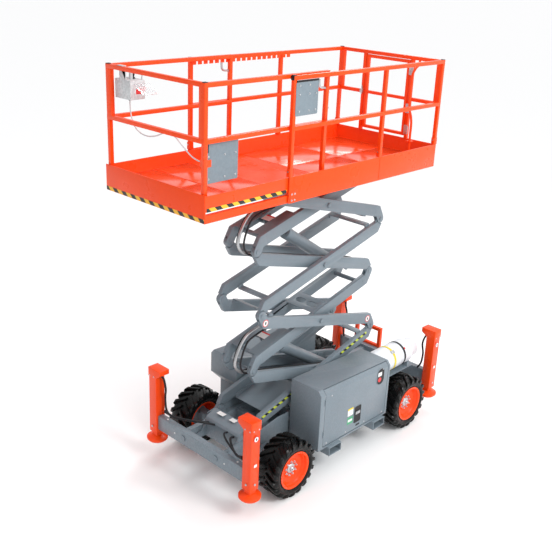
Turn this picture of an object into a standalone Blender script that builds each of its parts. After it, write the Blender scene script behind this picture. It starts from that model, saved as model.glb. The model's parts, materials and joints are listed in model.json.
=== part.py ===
"""Rough-terrain scissor lift, raised to about half its reach with its deck extension rolled out.

+X is the front, the end that steers and that the deck extension rolls towards; +Y is the machine's
left, +Z is up, and Z = 0 is the ground. Every piece is placed from the middle of the wheelbase,
which the empty "machine" puts MIDDLE_X behind the centre of the whole machine's length.
"""

import math

import bmesh
import bpy
from mathutils import Matrix, Vector

GAP = 0.0003  # between faces that rest on each other
MIDDLE_X = -0.263

# Wheels and axles
HALF_BASE = 1.04
WHEEL_Y = 0.71
TYRE_R = 0.33
HALF_TYRE = 0.15
BEAD_R = 0.200
AXLE_Z = 0.33
KINGPIN_Y = 0.60

# Chassis
RAIL_Y = 0.30
FRAME_LOW, FRAME_TOP = 0.36, 0.52
BEAM_X = 1.613
BEAM_LOW, BEAM_TOP = 0.385, 0.555
TRACK_TOP = 0.566

# Outriggers
POST_Y = 0.75
HALF_POST = 0.06
REAR_POST_X = -1.576
POST_LOW, POST_TOP = 0.335, 1.065

# Scissor arms
ARM_LENGTH = 2.021  # from pin to pin
PIN_DROP = 0.08  # how far the end pins sit from the tube's middle line
HALF_REACH = math.sqrt(ARM_LENGTH**2 / 4 - PIN_DROP**2)
PIN_ANGLE = 0.3394  # slope of the pin-to-pin line as it stands
TUBE_ANGLE = PIN_ANGLE - math.asin(2 * PIN_DROP / ARM_LENGTH)
FRONT_PIN_X = 1.083
REAR_PIN_X = FRONT_PIN_X - ARM_LENGTH * math.cos(PIN_ANGLE)
BASE_PIN_Z = 0.61
RISE = ARM_LENGTH * math.sin(PIN_ANGLE)
STAGES = 4
TOP_PIN_Z = BASE_PIN_Z + STAGES * RISE
OUTER_Y, INNER_Y = 0.297, 0.202
TUBE_H, TUBE_W = 0.127, 0.05
BOSS_R, PIN_R = 0.052, 0.024
SLIM_BOSS_R = 0.040  # at the ends under the platform's floor
TONGUE, FORK_IN, FORK_OUT = 0.011, 0.014, 0.026
ROLLER_R = 0.042

# Lift cylinders: each barrel is pinned on a front-rising arm, and its rod pushes the arm above
BARREL_PIN = (-HALF_REACH + 0.40, -0.06)
ROD_PIN = (-HALF_REACH + 0.45, -0.04)
BARREL_R, ROD_R, BORE_R = 0.068, 0.036, 0.038
CYLINDER_SLOT = 0.075
GLAND_AT = 1.06

# Platform
DECK_REAR, DECK_FRONT = -1.19, 1.20
DECK_Y, EXTENSION_Y = 0.718, 0.701
SIDE_RAIL_Y, EXTENSION_RAIL_Y = 0.700, 0.655
SKIRT_LOW, TOE_TOP = 3.270, 3.519
FLOOR_LOW, FLOOR_TOP = 3.350, 3.366
EXTENSION_FRONT, EXTENSION_REAR = 2.222, 0.66
MID_RAIL_Z, TOP_RAIL_Z, EXTENSION_TOP_Z = 3.965, 4.415, 4.425
HALF_RAIL = 0.019
RAIL_REAR_FACE = EXTENSION_FRONT - 0.012 - GAP - 2 * HALF_RAIL
BOX_LOW = 4.154

# The control box's lead
CABLE_R = 0.006
SOCKET_Y, SOCKET_Z = 0.585, 3.770

ORANGE = (0.85, 0.10, 0.02)
GREY = (0.25, 0.29, 0.31)
BLACK = (0.02, 0.02, 0.02)
STEEL = (0.60, 0.61, 0.62)
WHITE = (0.80, 0.83, 0.85)


def clear_scene():
    for obj in list(bpy.data.objects):
        bpy.data.objects.remove(obj, do_unlink=True)


def paint(name, colour, roughness=0.45, metallic=0.0):
    material = bpy.data.materials.new(name)
    material.use_nodes = True
    shader = material.node_tree.nodes["Principled BSDF"]
    shader.inputs["Base Color"].default_value = (*colour, 1.0)
    shader.inputs["Roughness"].default_value = roughness
    shader.inputs["Metallic"].default_value = metallic
    return material


def mesh_from(shape):
    bmesh.ops.recalc_face_normals(shape, faces=shape.faces)
    mesh = bpy.data.meshes.new("shape")
    shape.to_mesh(mesh)
    shape.free()
    return mesh


def box(low, high):
    """A block between two corners."""
    shape = bmesh.new()
    size = [b - a for a, b in zip(low, high)]
    centre = [(a + b) / 2 for a, b in zip(low, high)]
    bmesh.ops.create_cube(shape, size=1.0, matrix=Matrix.LocRotScale(centre, None, size))
    return mesh_from(shape)


def rod(start, end, radius, sides=16):
    """A round bar from one point to another."""
    start, end = Vector(start), Vector(end)
    along = end - start
    turn = along.to_track_quat("Z", "Y").to_matrix().to_4x4()
    shape = bmesh.new()
    bmesh.ops.create_cone(
        shape, cap_ends=True, segments=sides, radius1=radius, radius2=radius, depth=along.length,
        matrix=Matrix.Translation((start + end) / 2) @ turn,
    )
    return mesh_from(shape)


def prism(outline, low, high, across="y"):
    """An outline pushed straight through: (x, z) points along Y, or (y, z) points along X."""
    shape = bmesh.new()
    if across == "y":
        corners = [shape.verts.new((a, low, b)) for a, b in outline]
    elif across == "x":
        corners = [shape.verts.new((low, a, b)) for a, b in outline]
    else:
        corners = [shape.verts.new((a, b, low)) for a, b in outline]
    face = shape.faces.new(corners)
    pushed = bmesh.ops.extrude_face_region(shape, geom=[face])["geom"]
    step = Vector([high - low if axis == across else 0.0 for axis in "xyz"])
    moved = [item for item in pushed if isinstance(item, bmesh.types.BMVert)]
    bmesh.ops.translate(shape, vec=step, verts=moved)
    return mesh_from(shape)


def turned(profile, centre=(0, 0, 0), axis="y", sides=32):
    """A closed (radius, place) profile turned about an axis; its end points on the axis are welded."""
    shape = bmesh.new()
    ring = [shape.verts.new((radius, 0.0, place)) for radius, place in profile]
    edges = [shape.edges.new(pair) for pair in zip(ring, ring[1:] + ring[:1])]
    bmesh.ops.spin(
        shape, geom=ring + edges, cent=(0, 0, 0), axis=(0, 0, 1), angle=2 * math.pi,
        steps=sides, use_merge=True,
    )
    bmesh.ops.remove_doubles(shape, verts=shape.verts, dist=1e-5)
    bmesh.ops.dissolve_degenerate(shape, edges=shape.edges, dist=1e-6)
    if axis == "y":
        shape.transform(Matrix.Rotation(math.radians(-90), 4, "X"))
    shape.transform(Matrix.Translation(centre))
    return mesh_from(shape)


def arc(centre, radius, start, end, steps):
    """Points along an arc, with its angles in degrees."""
    return [
        (centre[0] + radius * math.cos(math.radians(start + (end - start) * step / steps)),
         centre[1] + radius * math.sin(math.radians(start + (end - start) * step / steps)))
        for step in range(steps + 1)
    ]


def place(obj, parent, at, turn):
    obj.parent = parent
    obj.location = at
    obj.rotation_euler = turn


def helper(name, mesh, owner):
    obj = bpy.data.objects.new(name, mesh)
    bpy.context.scene.collection.objects.link(obj)
    obj.parent = owner
    obj.hide_render = True
    obj.display_type = "WIRE"
    return obj


def solid(name, material, joined, cuts=(), at=(0, 0, 0), turn=(0, 0, 0), parent=None):
    """One closed body: the first mesh, joined with the others, then cut."""
    obj = bpy.data.objects.new(name, joined[0])
    bpy.context.scene.collection.objects.link(obj)
    obj.data.materials.append(material)
    place(obj, parent or MACHINE, at, turn)
    steps = [("UNION", mesh) for mesh in joined[1:]] + [("DIFFERENCE", mesh) for mesh in cuts]
    for number, (operation, mesh) in enumerate(steps):
        tool = helper(f"{name}_shape_{number}", mesh, obj)
        modifier = obj.modifiers.new(f"shape_{number}", "BOOLEAN")
        modifier.operation = operation
        modifier.solver = "EXACT"
        modifier.object = tool
    return obj


def empty(name, at=(0, 0, 0), parent=None):
    obj = bpy.data.objects.new(name, None)
    bpy.context.scene.collection.objects.link(obj)
    obj.parent = parent
    obj.location = at
    return obj


def both(make):
    """The shapes that make(side) gives for the left (+1) and the right (-1)."""
    return [mesh for side in (1, -1) for mesh in make(side)]


def span(side, a, b):
    """A left-hand pair of y values, low then high, on either side."""
    return sorted((side * a, side * b))


def block(x0, x1, side, y0, y1, z0, z1):
    """A block given by its left-hand y values, on either side."""
    y_low, y_high = span(side, y0, y1)
    return box((x0, y_low, z0), (x1, y_high, z1))


# Chassis ------------------------------------------------------------------------------------------


def frame_side(side):
    """A side rail with its roller track, and the fork that holds the first arm's lower end."""
    inner, outer = OUTER_Y - FORK_OUT, OUTER_Y + FORK_OUT
    boss = [(FRONT_PIN_X - 0.09, FRAME_TOP - 0.02)]
    boss += arc((FRONT_PIN_X, BASE_PIN_Z), BOSS_R, 180, 0, 8)
    boss += [(FRONT_PIN_X + 0.09, FRAME_TOP - 0.02)]
    shapes = [block(-1.62, 1.62, side, RAIL_Y - 0.03, RAIL_Y + 0.03, FRAME_LOW, FRAME_TOP)]
    for y0, y1 in ((inner, OUTER_Y - FORK_IN), (OUTER_Y + FORK_IN, outer)):
        shapes.append(prism(boss, *span(side, y0, y1)))
    shapes.append(
        rod((FRONT_PIN_X, side * (inner - 0.006), BASE_PIN_Z),
            (FRONT_PIN_X, side * (outer + 0.006), BASE_PIN_Z), PIN_R)
    )
    shapes.append(block(-1.02, 0.40, side, 0.10, 0.18, TRACK_TOP - 0.02, TRACK_TOP))
    shapes.append(block(-1.02, 0.40, side, 0.17, 0.18, FRAME_TOP - 0.06, TRACK_TOP - 0.001))
    return shapes


def cross_beam(centre_x):
    half = 0.035
    return box((centre_x - half, -POST_Y + HALF_POST + GAP, BEAM_LOW),
               (centre_x + half, POST_Y - HALF_POST - GAP, BEAM_TOP))


def make_chassis():
    shapes = both(frame_side)
    for x in (-1.30, -0.99, -0.30, 0.37, 0.80, 1.30):
        shapes.append(box((x - 0.03, -RAIL_Y, FRAME_LOW + 0.02), (x + 0.03, RAIL_Y, FRAME_TOP - 0.01)))
    shapes.append(box((-0.62, -RAIL_Y, HOOD_LOW), (0.62, RAIL_Y, FRAME_LOW + 0.008)))
    for side in (1, -1):
        for x in (-0.47, 0.47):
            shapes.append(block(x - 0.03, x + 0.03, side, RAIL_Y, HOOD_IN - GAP, 0.40, 0.44))
    shapes += [cross_beam(BEAM_X), cross_beam(REAR_POST_X)]
    hump = [(1.16, 0.40), (1.16, 0.655), (1.185, 0.665), (1.31, 0.61), (1.33, 0.585), (1.33, 0.40)]
    shapes.append(prism(hump, -0.262, 0.262))
    for side in (1, -1):
        brace = [(1.325, 0.55), (1.40, 0.455), (1.49, 0.43), (BEAM_X - 0.03, 0.43),
                 (BEAM_X - 0.03, FRAME_LOW + 0.03), (1.325, FRAME_LOW + 0.03)]
        shapes.append(prism(brace, *span(side, 0.240, 0.262)))
        plate = [(0.625, 0.40), (0.625, 0.66), (0.80, 0.66), (1.22, 0.58), (1.22, 0.40)]
        shapes.append(prism(plate, *span(side, 0.340, 0.350)))
        shapes.append(block(0.64, 1.20, side, RAIL_Y + 0.02, 0.345, 0.42, 0.50))
    solid("chassis_frame", paint("chassis grey", GREY), shapes)


def make_fork_pockets():
    """Two rectangular sleeves under the frame, open at both ends for a forklift's tines."""
    for name, x in (("front_fork_pocket", 0.36), ("rear_fork_pocket", -0.44)):
        low, high = HOOD_LOW - 0.105, HOOD_LOW - GAP
        outside = box((x - 0.105, -0.84, low), (x + 0.105, 0.84, high))
        inside = box((x - 0.095, -0.90, low + 0.010), (x + 0.095, 0.90, high - 0.010))
        solid(name, paint("pocket grey", GREY), [outside], [inside])


def make_axles():
    """The front axle ends in forks around the kingpins; the rear one ends in fixed hub motors."""
    z = AXLE_Z
    grey = paint("axle grey", GREY)
    arm = 0.095
    shapes = [box((HALF_BASE - 0.05, -0.40, z - 0.05), (HALF_BASE + 0.05, 0.40, FRAME_LOW - GAP))]
    for side in (1, -1):
        shapes.append(block(HALF_BASE - 0.05, HALF_BASE + 0.05, side, 0.36, 0.405, z - arm, z + arm))
        for low, high in ((z + arm - 0.018, z + arm), (z - arm, z - arm + 0.018)):
            shapes.append(block(HALF_BASE - 0.05, HALF_BASE + 0.05, side, 0.38, KINGPIN_Y, low, high))
            shapes.append(rod((HALF_BASE, side * KINGPIN_Y, low), (HALF_BASE, side * KINGPIN_Y, high),
                              0.05, 20))
    shapes.append(rod((HALF_BASE + 0.105, -0.22, z), (HALF_BASE + 0.105, 0.22, z), 0.032))
    shapes.append(box((HALF_BASE + 0.04, -0.05, z - 0.03), (HALF_BASE + 0.105, 0.05, z + 0.02)))
    solid("front_axle", grey, shapes)

    shapes = [box((-HALF_BASE - 0.055, -0.50, z - 0.055), (-HALF_BASE + 0.055, 0.50, FRAME_LOW - GAP))]
    for side in (1, -1):
        shapes.append(rod((-HALF_BASE, side * 0.49, z), (-HALF_BASE, side * 0.74, z), 0.115, 24))
    solid("rear_axle", grey, shapes)


def make_knuckles():
    """A kingpin block and hub motor that steers each front wheel, with its arm to the track rod."""
    for name, side in (("left_knuckle", 1), ("right_knuckle", -1)):
        out = WHEEL_Y + 0.03 - KINGPIN_Y
        shapes = [
            rod((0, 0, -0.070), (0, 0, 0.070), 0.045, 20),
            block(-0.045, 0.045, side, 0.0, 0.10, -0.065, 0.065),
            rod((0, side * 0.085, 0), (0, side * out, 0), 0.115, 24),
            block(-0.02, 0.02, side, -0.14, 0.01, -0.045, -0.02),
            block(-0.10, 0.019, side, -0.139, -0.10, -0.044, -0.021),
        ]
        solid(name, paint("knuckle grey", GREY), shapes, at=(HALF_BASE, side * KINGPIN_Y, AXLE_Z))


def tyre_profile():
    """The right half, then the left: bead, bulging side wall, shoulder and a slightly crowned tread."""
    half = [(BEAD_R, 0.0), (BEAD_R, 0.120), (0.216, 0.137), (0.245, 0.148), (0.275, HALF_TYRE),
            (0.302, 0.145), (0.320, 0.125), (TYRE_R, 0.0)]
    return half + [(radius, -place) for radius, place in reversed(half[1:-1])]


def rim_profile():
    """A dished disc near the outer face, a drum behind it, and a lip over the tyre's bead."""
    seat, lip = BEAD_R - 0.0008, 0.214
    return [
        (0.0, 0.078), (0.0, 0.060), (0.150, 0.060), (0.184, 0.060), (0.184, -0.119), (seat, -0.119),
        (seat, 0.1215), (lip, 0.1385), (lip, 0.1440), (0.190, 0.1400), (0.184, 0.1150),
        (0.165, 0.082), (0.110, 0.070), (0.095, 0.078),
    ]


def make_wheels():
    tyre, rim = turned(tyre_profile(), sides=28), turned(rim_profile(), sides=28)
    rubber, orange = paint("tyre rubber", BLACK, 0.8), paint("rim orange", ORANGE)
    for end, x in (("front", HALF_BASE), ("rear", -HALF_BASE)):
        for name, side in (("left", 1), ("right", -1)):
            turn = (0, 0, 0 if side > 0 else math.pi)
            at = (x, side * WHEEL_Y, AXLE_Z)
            solid(f"{end}_{name}_tyre", rubber, [tyre.copy()], at=at, turn=turn)
            solid(f"{end}_{name}_rim", orange, [rim.copy()], at=at, turn=turn)


# Outriggers ---------------------------------------------------------------------------------------


def cap_outline(side):
    """The cap seen from the front: flat on top, with an overhang on the inner side over the hose."""
    outer, inner = HALF_POST + 0.006, -HALF_POST - 0.075
    outline = [(outer, -0.035), (outer, 0.075), (inner, 0.075), (inner, 0.020), (-HALF_POST + 0.01, -0.035)]
    return [(side * y, POST_TOP + z) for y, z in outline]


def make_outriggers():
    orange, pad_paint = paint("outrigger orange", ORANGE), paint("foot orange", ORANGE)
    for end, x in (("front", BEAM_X), ("rear", REAR_POST_X)):
        for name, side in (("left", 1), ("right", -1)):
            h = HALF_POST
            shapes = [
                box((-h, -h, POST_LOW), (h, h, POST_TOP)),
                prism(cap_outline(side), -h - 0.006, h + 0.006, "x"),
            ]
            cuts = [box((-0.047, -0.047, POST_LOW - 0.1), (0.047, 0.047, POST_TOP - 0.05))]
            at = (x, side * POST_Y, 0)
            solid(f"{end}_{name}_outrigger", orange, shapes, cuts, at=at)
            foot = [(0.0, 0.222), (0.105, 0.222), (0.120, 0.240), (0.120, 0.262), (0.085, 0.274),
                    (0.052, 0.290), (0.0, 0.290)]
            leg = [turned(foot, axis="z", sides=20),
                   box((-0.042, -0.042, 0.28), (0.042, 0.042, POST_TOP - 0.10))]
            solid(f"{end}_{name}_foot", pad_paint, leg, at=at)


# Hoods, engine and gas bottle ---------------------------------------------------------------------

HOOD_REAR, HOOD_IN, HOOD_OUT = -0.62, 0.365, 0.80
HOOD_LOW, HOOD_TOP = 0.345, 1.085
HOOD_WALL = 0.012
HOOD_FALL = 0.035  # how much lower the lids are at the back, per metre
FOLD_IN, FOLD_LOW = 0.045, 0.055  # the bend along the top outer edge


def sloped(mesh, front):
    """Lets everything near the lid fall towards the back."""
    for vertex in mesh.vertices:
        if vertex.co.z > HOOD_TOP - 0.12:
            vertex.co.z += HOOD_FALL * (vertex.co.x - front)
    return mesh


def hood_outline(side, top, shrink):
    """The hood's cross-section seen from the front, pulled in by shrink."""
    y_in, y_out = HOOD_IN + shrink, HOOD_OUT - shrink
    high, low = top - shrink, HOOD_LOW + shrink
    outline = [(y_in, low), (y_out, low), (y_out, high - FOLD_LOW), (y_out - FOLD_IN, high), (y_in, high)]
    return [(side * y, z) for y, z in outline]


def door_outline(side, top):
    """A panel whose top is bent inwards along the hood's fold."""
    out, wall = HOOD_OUT, HOOD_WALL
    outline = [
        (out, HOOD_LOW + 0.03), (out, top - FOLD_LOW), (out - FOLD_IN + 0.006, top - 0.007),
        (out - FOLD_IN - 0.002, top - 0.017), (out - wall, top - FOLD_LOW - 0.004),
        (out - wall, HOOD_LOW + 0.03),
    ]
    return [(side * y, z) for y, z in outline]


def make_hood(name, side, front, door_front, top, hollows, notches):
    """A hollow sheet-metal hood with the opening that its side door closes."""
    slit, door_rear = 0.005, HOOD_REAR + 0.04
    outside = sloped(prism(hood_outline(side, top, 0.0), HOOD_REAR, front, "x"), front)
    edge = HOOD_OUT - FOLD_IN
    opening = [(edge - 0.004, top - 0.012), (edge - 0.004, HOOD_LOW + 0.02), (0.9, HOOD_LOW + 0.02),
               (0.9, top + 0.06), (edge + 0.01, top + 0.06)]
    opening = [(side * y, z) for y, z in opening]
    door_hole = sloped(prism(opening, door_rear - slit, door_front + slit, "x"), front)
    solid(name, paint("hood grey", GREY), [outside], hollows + [door_hole] + notches)
    panel = sloped(prism(door_outline(side, top), door_rear, door_front, "x"), front)
    hinge = Vector((door_front, side * HOOD_OUT, 0))
    panel.transform(Matrix.Translation(-hinge))
    solid(name + "_door", paint("door grey", GREY), [panel], at=hinge)


def hood_hollow(side, front, slope_from, top):
    outline = hood_outline(side, top, HOOD_WALL)
    return sloped(prism(outline, HOOD_REAR + HOOD_WALL, front - HOOD_WALL, "x"), slope_from)


def make_hoods():
    """The right hood's nose reaches forward over the steered wheel, above a sloping underside."""
    front = 0.62
    make_hood("left_hood", 1, front, 0.54, HOOD_TOP, [hood_hollow(1, front, front, HOOD_TOP)], [])
    nose, heel, top = 0.76, 0.60, HOOD_TOP - 0.02
    under = [(nose + 0.1, 0.87), (nose + 0.1, 0.2), (heel, 0.2), (heel, 0.61)]
    notch = prism(under, *span(-1, HOOD_IN - 0.05, HOOD_OUT + 0.1))
    nose_hollow = prism([(heel - 0.03, 0.64), (nose - HOOD_WALL, 0.80), (nose - HOOD_WALL, top - 0.07),
                         (heel - 0.03, top - 0.07)], *span(-1, HOOD_IN + HOOD_WALL, HOOD_OUT - 0.02))
    make_hood("right_hood", -1, nose, 0.50, top, [hood_hollow(-1, heel, nose, top), nose_hollow], [notch])


def make_engine():
    """The engine and its pump, as one plain block on the left hood's floor."""
    solid("engine_block", paint("engine black", BLACK, 0.6),
          [box((-0.45, 0.42, HOOD_LOW + HOOD_WALL + GAP), (0.30, 0.74, 0.86))])


def make_gas_bottle():
    centre_y, centre_z, radius = 0.51, 0.86, 0.150
    half = 0.37
    middle_x = -1.005
    profile = [(0.0, 0.010 - half), (0.083, 0.020 - half), (0.083, -0.070 - half), (0.095, -0.070 - half),
               (0.095, 0.026 - half), (0.135, 0.050 - half), (radius, 0.100 - half),
               (radius, half - 0.100), (0.135, half - 0.045), (0.090, half - 0.012), (0.0, half)]
    bottle = turned(profile, axis="z", sides=24)
    valve = rod((0, 0, -half - 0.05), (0, 0, -half + 0.03), 0.02, 12)
    solid("gas_bottle", paint("bottle white", WHITE, 0.3), [bottle, valve],
          at=(middle_x, centre_y, centre_z), turn=(0, math.radians(90), 0))
    saddle_low = centre_z - radius - 0.03
    y_in, y_out = centre_y - 0.12, centre_y + 0.13
    rear, front = middle_x - 0.34, middle_x + 0.34
    shapes = [box((rear, y_in, saddle_low), (front, y_out, saddle_low + 0.010))]
    for x in (middle_x - 0.25, middle_x + 0.25):
        shapes.append(box((x - 0.02, y_in + 0.01, saddle_low), (x + 0.02, y_out - 0.01, centre_z - 0.07)))
    shapes.append(box((rear, y_in, FRAME_LOW + 0.05), (front, y_in + 0.010, saddle_low + 0.009)))
    shapes.append(box((rear, RAIL_Y + 0.03 + GAP, FRAME_LOW + 0.05), (front, y_in + 0.009, FRAME_LOW + 0.060)))
    cut = rod((middle_x - 0.6, centre_y, centre_z), (middle_x + 0.6, centre_y, centre_z), radius + 0.002,
              32)
    solid("bottle_cradle", paint("cradle black", GREY), shapes, [cut])


def make_ladder():
    """The climbing ladder behind the rear beam: a closed loop of tube with a step and two rungs."""
    half_tube, centre_y, half = 0.022, -0.29, 0.19
    x = REAR_POST_X - 0.035 - half_tube - GAP
    low, top = 0.30, 0.835
    shapes = []
    for y in (centre_y - half, centre_y + half):
        shapes.append(box((x - half_tube, y - half_tube, low), (x + half_tube, y + half_tube, top)))
    inset = half_tube - 0.0005
    for z in (low + half_tube, 0.565, top - half_tube):
        shapes.append(box((x - inset, centre_y - half, z - inset), (x + inset, centre_y + half, z + inset)))
    solid("ladder", paint("ladder orange", ORANGE), shapes)


# Scissor ------------------------------------------------------------------------------------------


def tube_end():
    """The lower end of a tube from the side, round its pin at (0, 0), with the arm running to +x.

    Its slanted nose stays far enough from the pin for the next arm's boss to turn past it.
    """
    top, bottom = PIN_DROP + TUBE_H / 2, PIN_DROP - TUBE_H / 2
    return [(0.0655, top), (-0.012, top - 0.0775), (0.026, 0.060), (0.058, bottom)]


def boss_end(boss):
    """A tongue or a prong: a round boss about the pin, running up into the tube."""
    top, bottom = PIN_DROP + TUBE_H / 2, PIN_DROP - TUBE_H / 2
    outline = [(0.14, top - 0.002), (0.0645, top - 0.002), (-0.0115, top - 0.0785)]
    outline += arc((0, 0), boss, 140, 310, 6)
    outline += [(0.09, bottom + 0.002), (0.14, bottom + 0.002)]
    return outline


def arm_plates(y, prongs, upper_boss):
    """An arm's tube with a tongue or a fork at each end, about the tube's middle."""
    lower = [(a - HALF_REACH, b - PIN_DROP) for a, b in tube_end()]
    outline = lower + [(-a, -b) for a, b in lower]
    shapes = [prism(outline, y - TUBE_W / 2, y + TUBE_W / 2)]
    for y0, y1 in prongs:
        low = [(a - HALF_REACH, b - PIN_DROP) for a, b in boss_end(BOSS_R)]
        high = [(HALF_REACH - a, PIN_DROP - b) for a, b in boss_end(upper_boss)]
        shapes += [prism(low, y + y0, y + y1), prism(high, y + y0, y + y1)]
    return shapes


def ends():
    """The places of the lower and the upper pin, about the tube's middle."""
    return ((-HALF_REACH, -PIN_DROP), (HALF_REACH, PIN_DROP))


def bar_across(at, half_y, radius, sides=16):
    return rod((at[0], -half_y, at[1]), (at[0], half_y, at[1]), radius, sides)


TONGUES = [(-TONGUE, TONGUE)]
FORKS = [(-FORK_OUT, -FORK_IN), (FORK_IN, FORK_OUT)]


def arm_pair(number, y, pinned):
    """Both tubes of one arm frame, and the holes at its pinned ends, about the tubes' middle.

    Even frames end in forks that hold the pins, and odd ones in tongues with the holes.
    """
    holds_pins = number % 2 == 0
    upper_boss = SLIM_BOSS_R if number == STAGES else BOSS_R
    joined, holes = [], []
    for side in (1, -1):
        joined += arm_plates(side * y, FORKS if holds_pins else TONGUES, upper_boss)
        for x, z in pinned:
            if holds_pins:
                tips = span(side, y - FORK_OUT - 0.006, y + FORK_OUT + 0.006)
                joined.append(rod((x, tips[0], z), (x, tips[1], z), PIN_R, 12))
            else:
                tips = span(side, y - 0.08, y + 0.08)
                holes.append(rod((x, tips[0], z), (x, tips[1], z), PIN_R + 0.0015, 12))
    return joined, holes


def rising(forward):
    """The turn of an arm about Y, and the x direction in which it rises."""
    return (0, -TUBE_ANGLE if forward else TUBE_ANGLE, 0), (1 if forward else -1)


def facing(meshes, way):
    """Turns shapes drawn for an arm that rises forward into ones for an arm that rises backward."""
    if way < 0:
        for mesh in meshes:
            mesh.transform(Matrix.Scale(-1, 4, (1, 0, 0)))
            mesh.flip_normals()
    return meshes


def outer_tie(start, end, half):
    """A plate across the gap between two folded stages, with an ear against each tube's inner face.

    It lies under the lower half of the frame and over the upper half, where no arm ever crosses.
    """
    inner_face = OUTER_Y - TUBE_W / 2
    near, far, ear = TUBE_H / 2 + 0.010, TUBE_H / 2 + 0.021, 0.040
    low, high = sorted((half * near, half * far))
    ear_low, ear_high = sorted((half * ear, half * (far - 0.001)))
    shapes = [box((start, -inner_face, low), (end, inner_face, high))]
    for side in (1, -1):
        shapes.append(block(start + 0.001, end - 0.001, side, inner_face - 0.014, inner_face + 0.004,
                            ear_low, ear_high))
    return shapes


def make_outer_arms():
    grey = paint("arm grey", GREY)
    lower_end, upper_end = -HALF_REACH, HALF_REACH
    for number in range(1, STAGES + 1):
        turn, way = rising(number % 2 == 0)
        joined, holes = arm_pair(number, OUTER_Y, ends())
        wide = 0.56 if number == 1 else 0.07
        joined += outer_tie(lower_end + 0.235, lower_end + 0.235 + wide, -1)
        joined += outer_tie(upper_end - 0.225, upper_end - 0.155, 1)
        holes.append(rod((0, -0.40, 0), (0, 0.40, 0), PIN_R + 0.0015, 12))
        shapes = facing(joined + holes, way)
        lift = Matrix.Translation((way * HALF_REACH, 0, PIN_DROP))
        for mesh in shapes:
            mesh.transform(lift)
        count = len(joined)
        at = (FRONT_PIN_X if number % 2 else REAR_PIN_X, 0, BASE_PIN_Z + (number - 1) * RISE)
        solid(f"outer_arm_{number}", grey, shapes[:count], shapes[count:], at=at, turn=turn)


def make_inner_arms():
    grey = paint("inner arm grey", GREY)
    half_gap = INNER_Y - TUBE_W / 2
    middle_x = (FRONT_PIN_X + REAR_PIN_X) / 2
    for number in range(1, STAGES + 1):
        turn, way = rising(number % 2 == 1)
        lower, upper = ends()
        pinned = [end for end in (lower, upper) if (number, end) not in ((1, lower), (STAGES, upper))]
        joined, holes = arm_pair(number, INNER_Y, pinned)
        for side in (1, -1):
            tip = side * (OUTER_Y + TUBE_W / 2 + 0.012)
            joined.append(rod((0, side * INNER_Y, 0), (0, tip, 0), PIN_R, 12))
            tip = side * (INNER_Y + TUBE_W / 2 + 0.036)
            joined.append(rod((0, side * INNER_Y, 0), (0, tip, 0), 0.038, 12))
        if number == 1:
            joined += roller_axle(lower)
        else:
            joined.append(bar_across((lower[0] + 0.16, 0.0), half_gap + 0.01, 0.026, 12))
        if number == STAGES:
            joined += roller_axle(upper)
        else:
            joined.append(bar_across((upper[0] - 0.16, 0.0), half_gap + 0.01, 0.026, 12))
        if number in (2, 4):
            for side in (1, -1):
                joined.append(block(lower[0] + 0.10, lower[0] + 0.62, side, CYLINDER_SLOT, half_gap + 0.004,
                                    TUBE_H / 2 - 0.007, TUBE_H / 2 - 0.0005))
        if number == 2:
            top = TUBE_H / 2
            joined.append(box((0.0, -INNER_Y, top - 0.002), (0.24, INNER_Y, top + 0.006)))
            for y in (0.085, -0.085):
                oval = arc((0.12, y + 0.028), 0.042, 0, 180, 6) + arc((0.12, y - 0.028), 0.042, 180, 360, 6)
                holes.append(prism(oval, top - 0.03, top + 0.03, "z"))
        if number in (1, 3):
            joined += barrel_fork()
        else:
            joined += rod_fork()
        shapes = facing(joined + holes, way)
        count = len(joined)
        at = (middle_x, 0, BASE_PIN_Z + (number - 0.5) * RISE)
        solid(f"inner_arm_{number}", grey, shapes[:count], shapes[count:], at=at, turn=turn)


def roller_axle(at):
    """The shaft through both tubes at an end that slides, with a roller inside each tube."""
    x, z = at
    shapes = [rod((x, -INNER_Y - 0.02, z), (x, INNER_Y + 0.02, z), 0.020, 12)]
    for side in (1, -1):
        shapes.append(rod((x, side * 0.125, z), (x, side * 0.160, z), ROLLER_R, 20))
    return shapes


def barrel_fork():
    """The lugs and the pin that carry a barrel's lower end."""
    x, z = BARREL_PIN
    half_gap = INNER_Y - TUBE_W / 2
    shapes = [rod((x, -half_gap - 0.002, z), (x, half_gap + 0.002, z), 0.024, 12)]
    for side in (1, -1):
        outline = [(x - 0.09, TUBE_H / 2 - 0.02), (x - 0.036, z), *arc((x, z), 0.031, 200, 340, 4),
                   (x + 0.031, z + 0.01), (x + 0.015, TUBE_H / 2 - 0.02)]
        shapes.append(prism(outline, *span(side, 0.048, 0.062)))
        shapes.append(prism(outline, *span(side, half_gap - 0.012, half_gap + 0.004)))
    return shapes


def rod_fork():
    """The lugs that stand either side of a rod's eye, on a cross tube along the arm's top."""
    x, z = ROD_PIN
    half_gap = INNER_Y - TUBE_W / 2
    shapes = []
    for side in (1, -1):
        outline = [(x - 0.06, TUBE_H / 2 - 0.02), (x - 0.045, z), *arc((x, z), 0.042, 200, 340, 4),
                   (x + 0.045, z), (x + 0.06, TUBE_H / 2 - 0.02)]
        shapes.append(prism(outline, *span(side, 0.050, 0.064)))
        shapes.append(rod((x, side * 0.042, z), (x, side * (half_gap + 0.004), z), 0.022, 12))
    return shapes


def arm_point(stage, forward, spot):
    """Where a spot on a stage's inner arm is, from the middle of the wheelbase."""
    (_, turn, _), way = rising(forward)
    centre = Vector(((FRONT_PIN_X + REAR_PIN_X) / 2, 0, BASE_PIN_Z + (stage - 0.5) * RISE))
    return centre + Matrix.Rotation(turn, 3, "Y") @ Vector((way * spot[0], 0, spot[1]))


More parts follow.
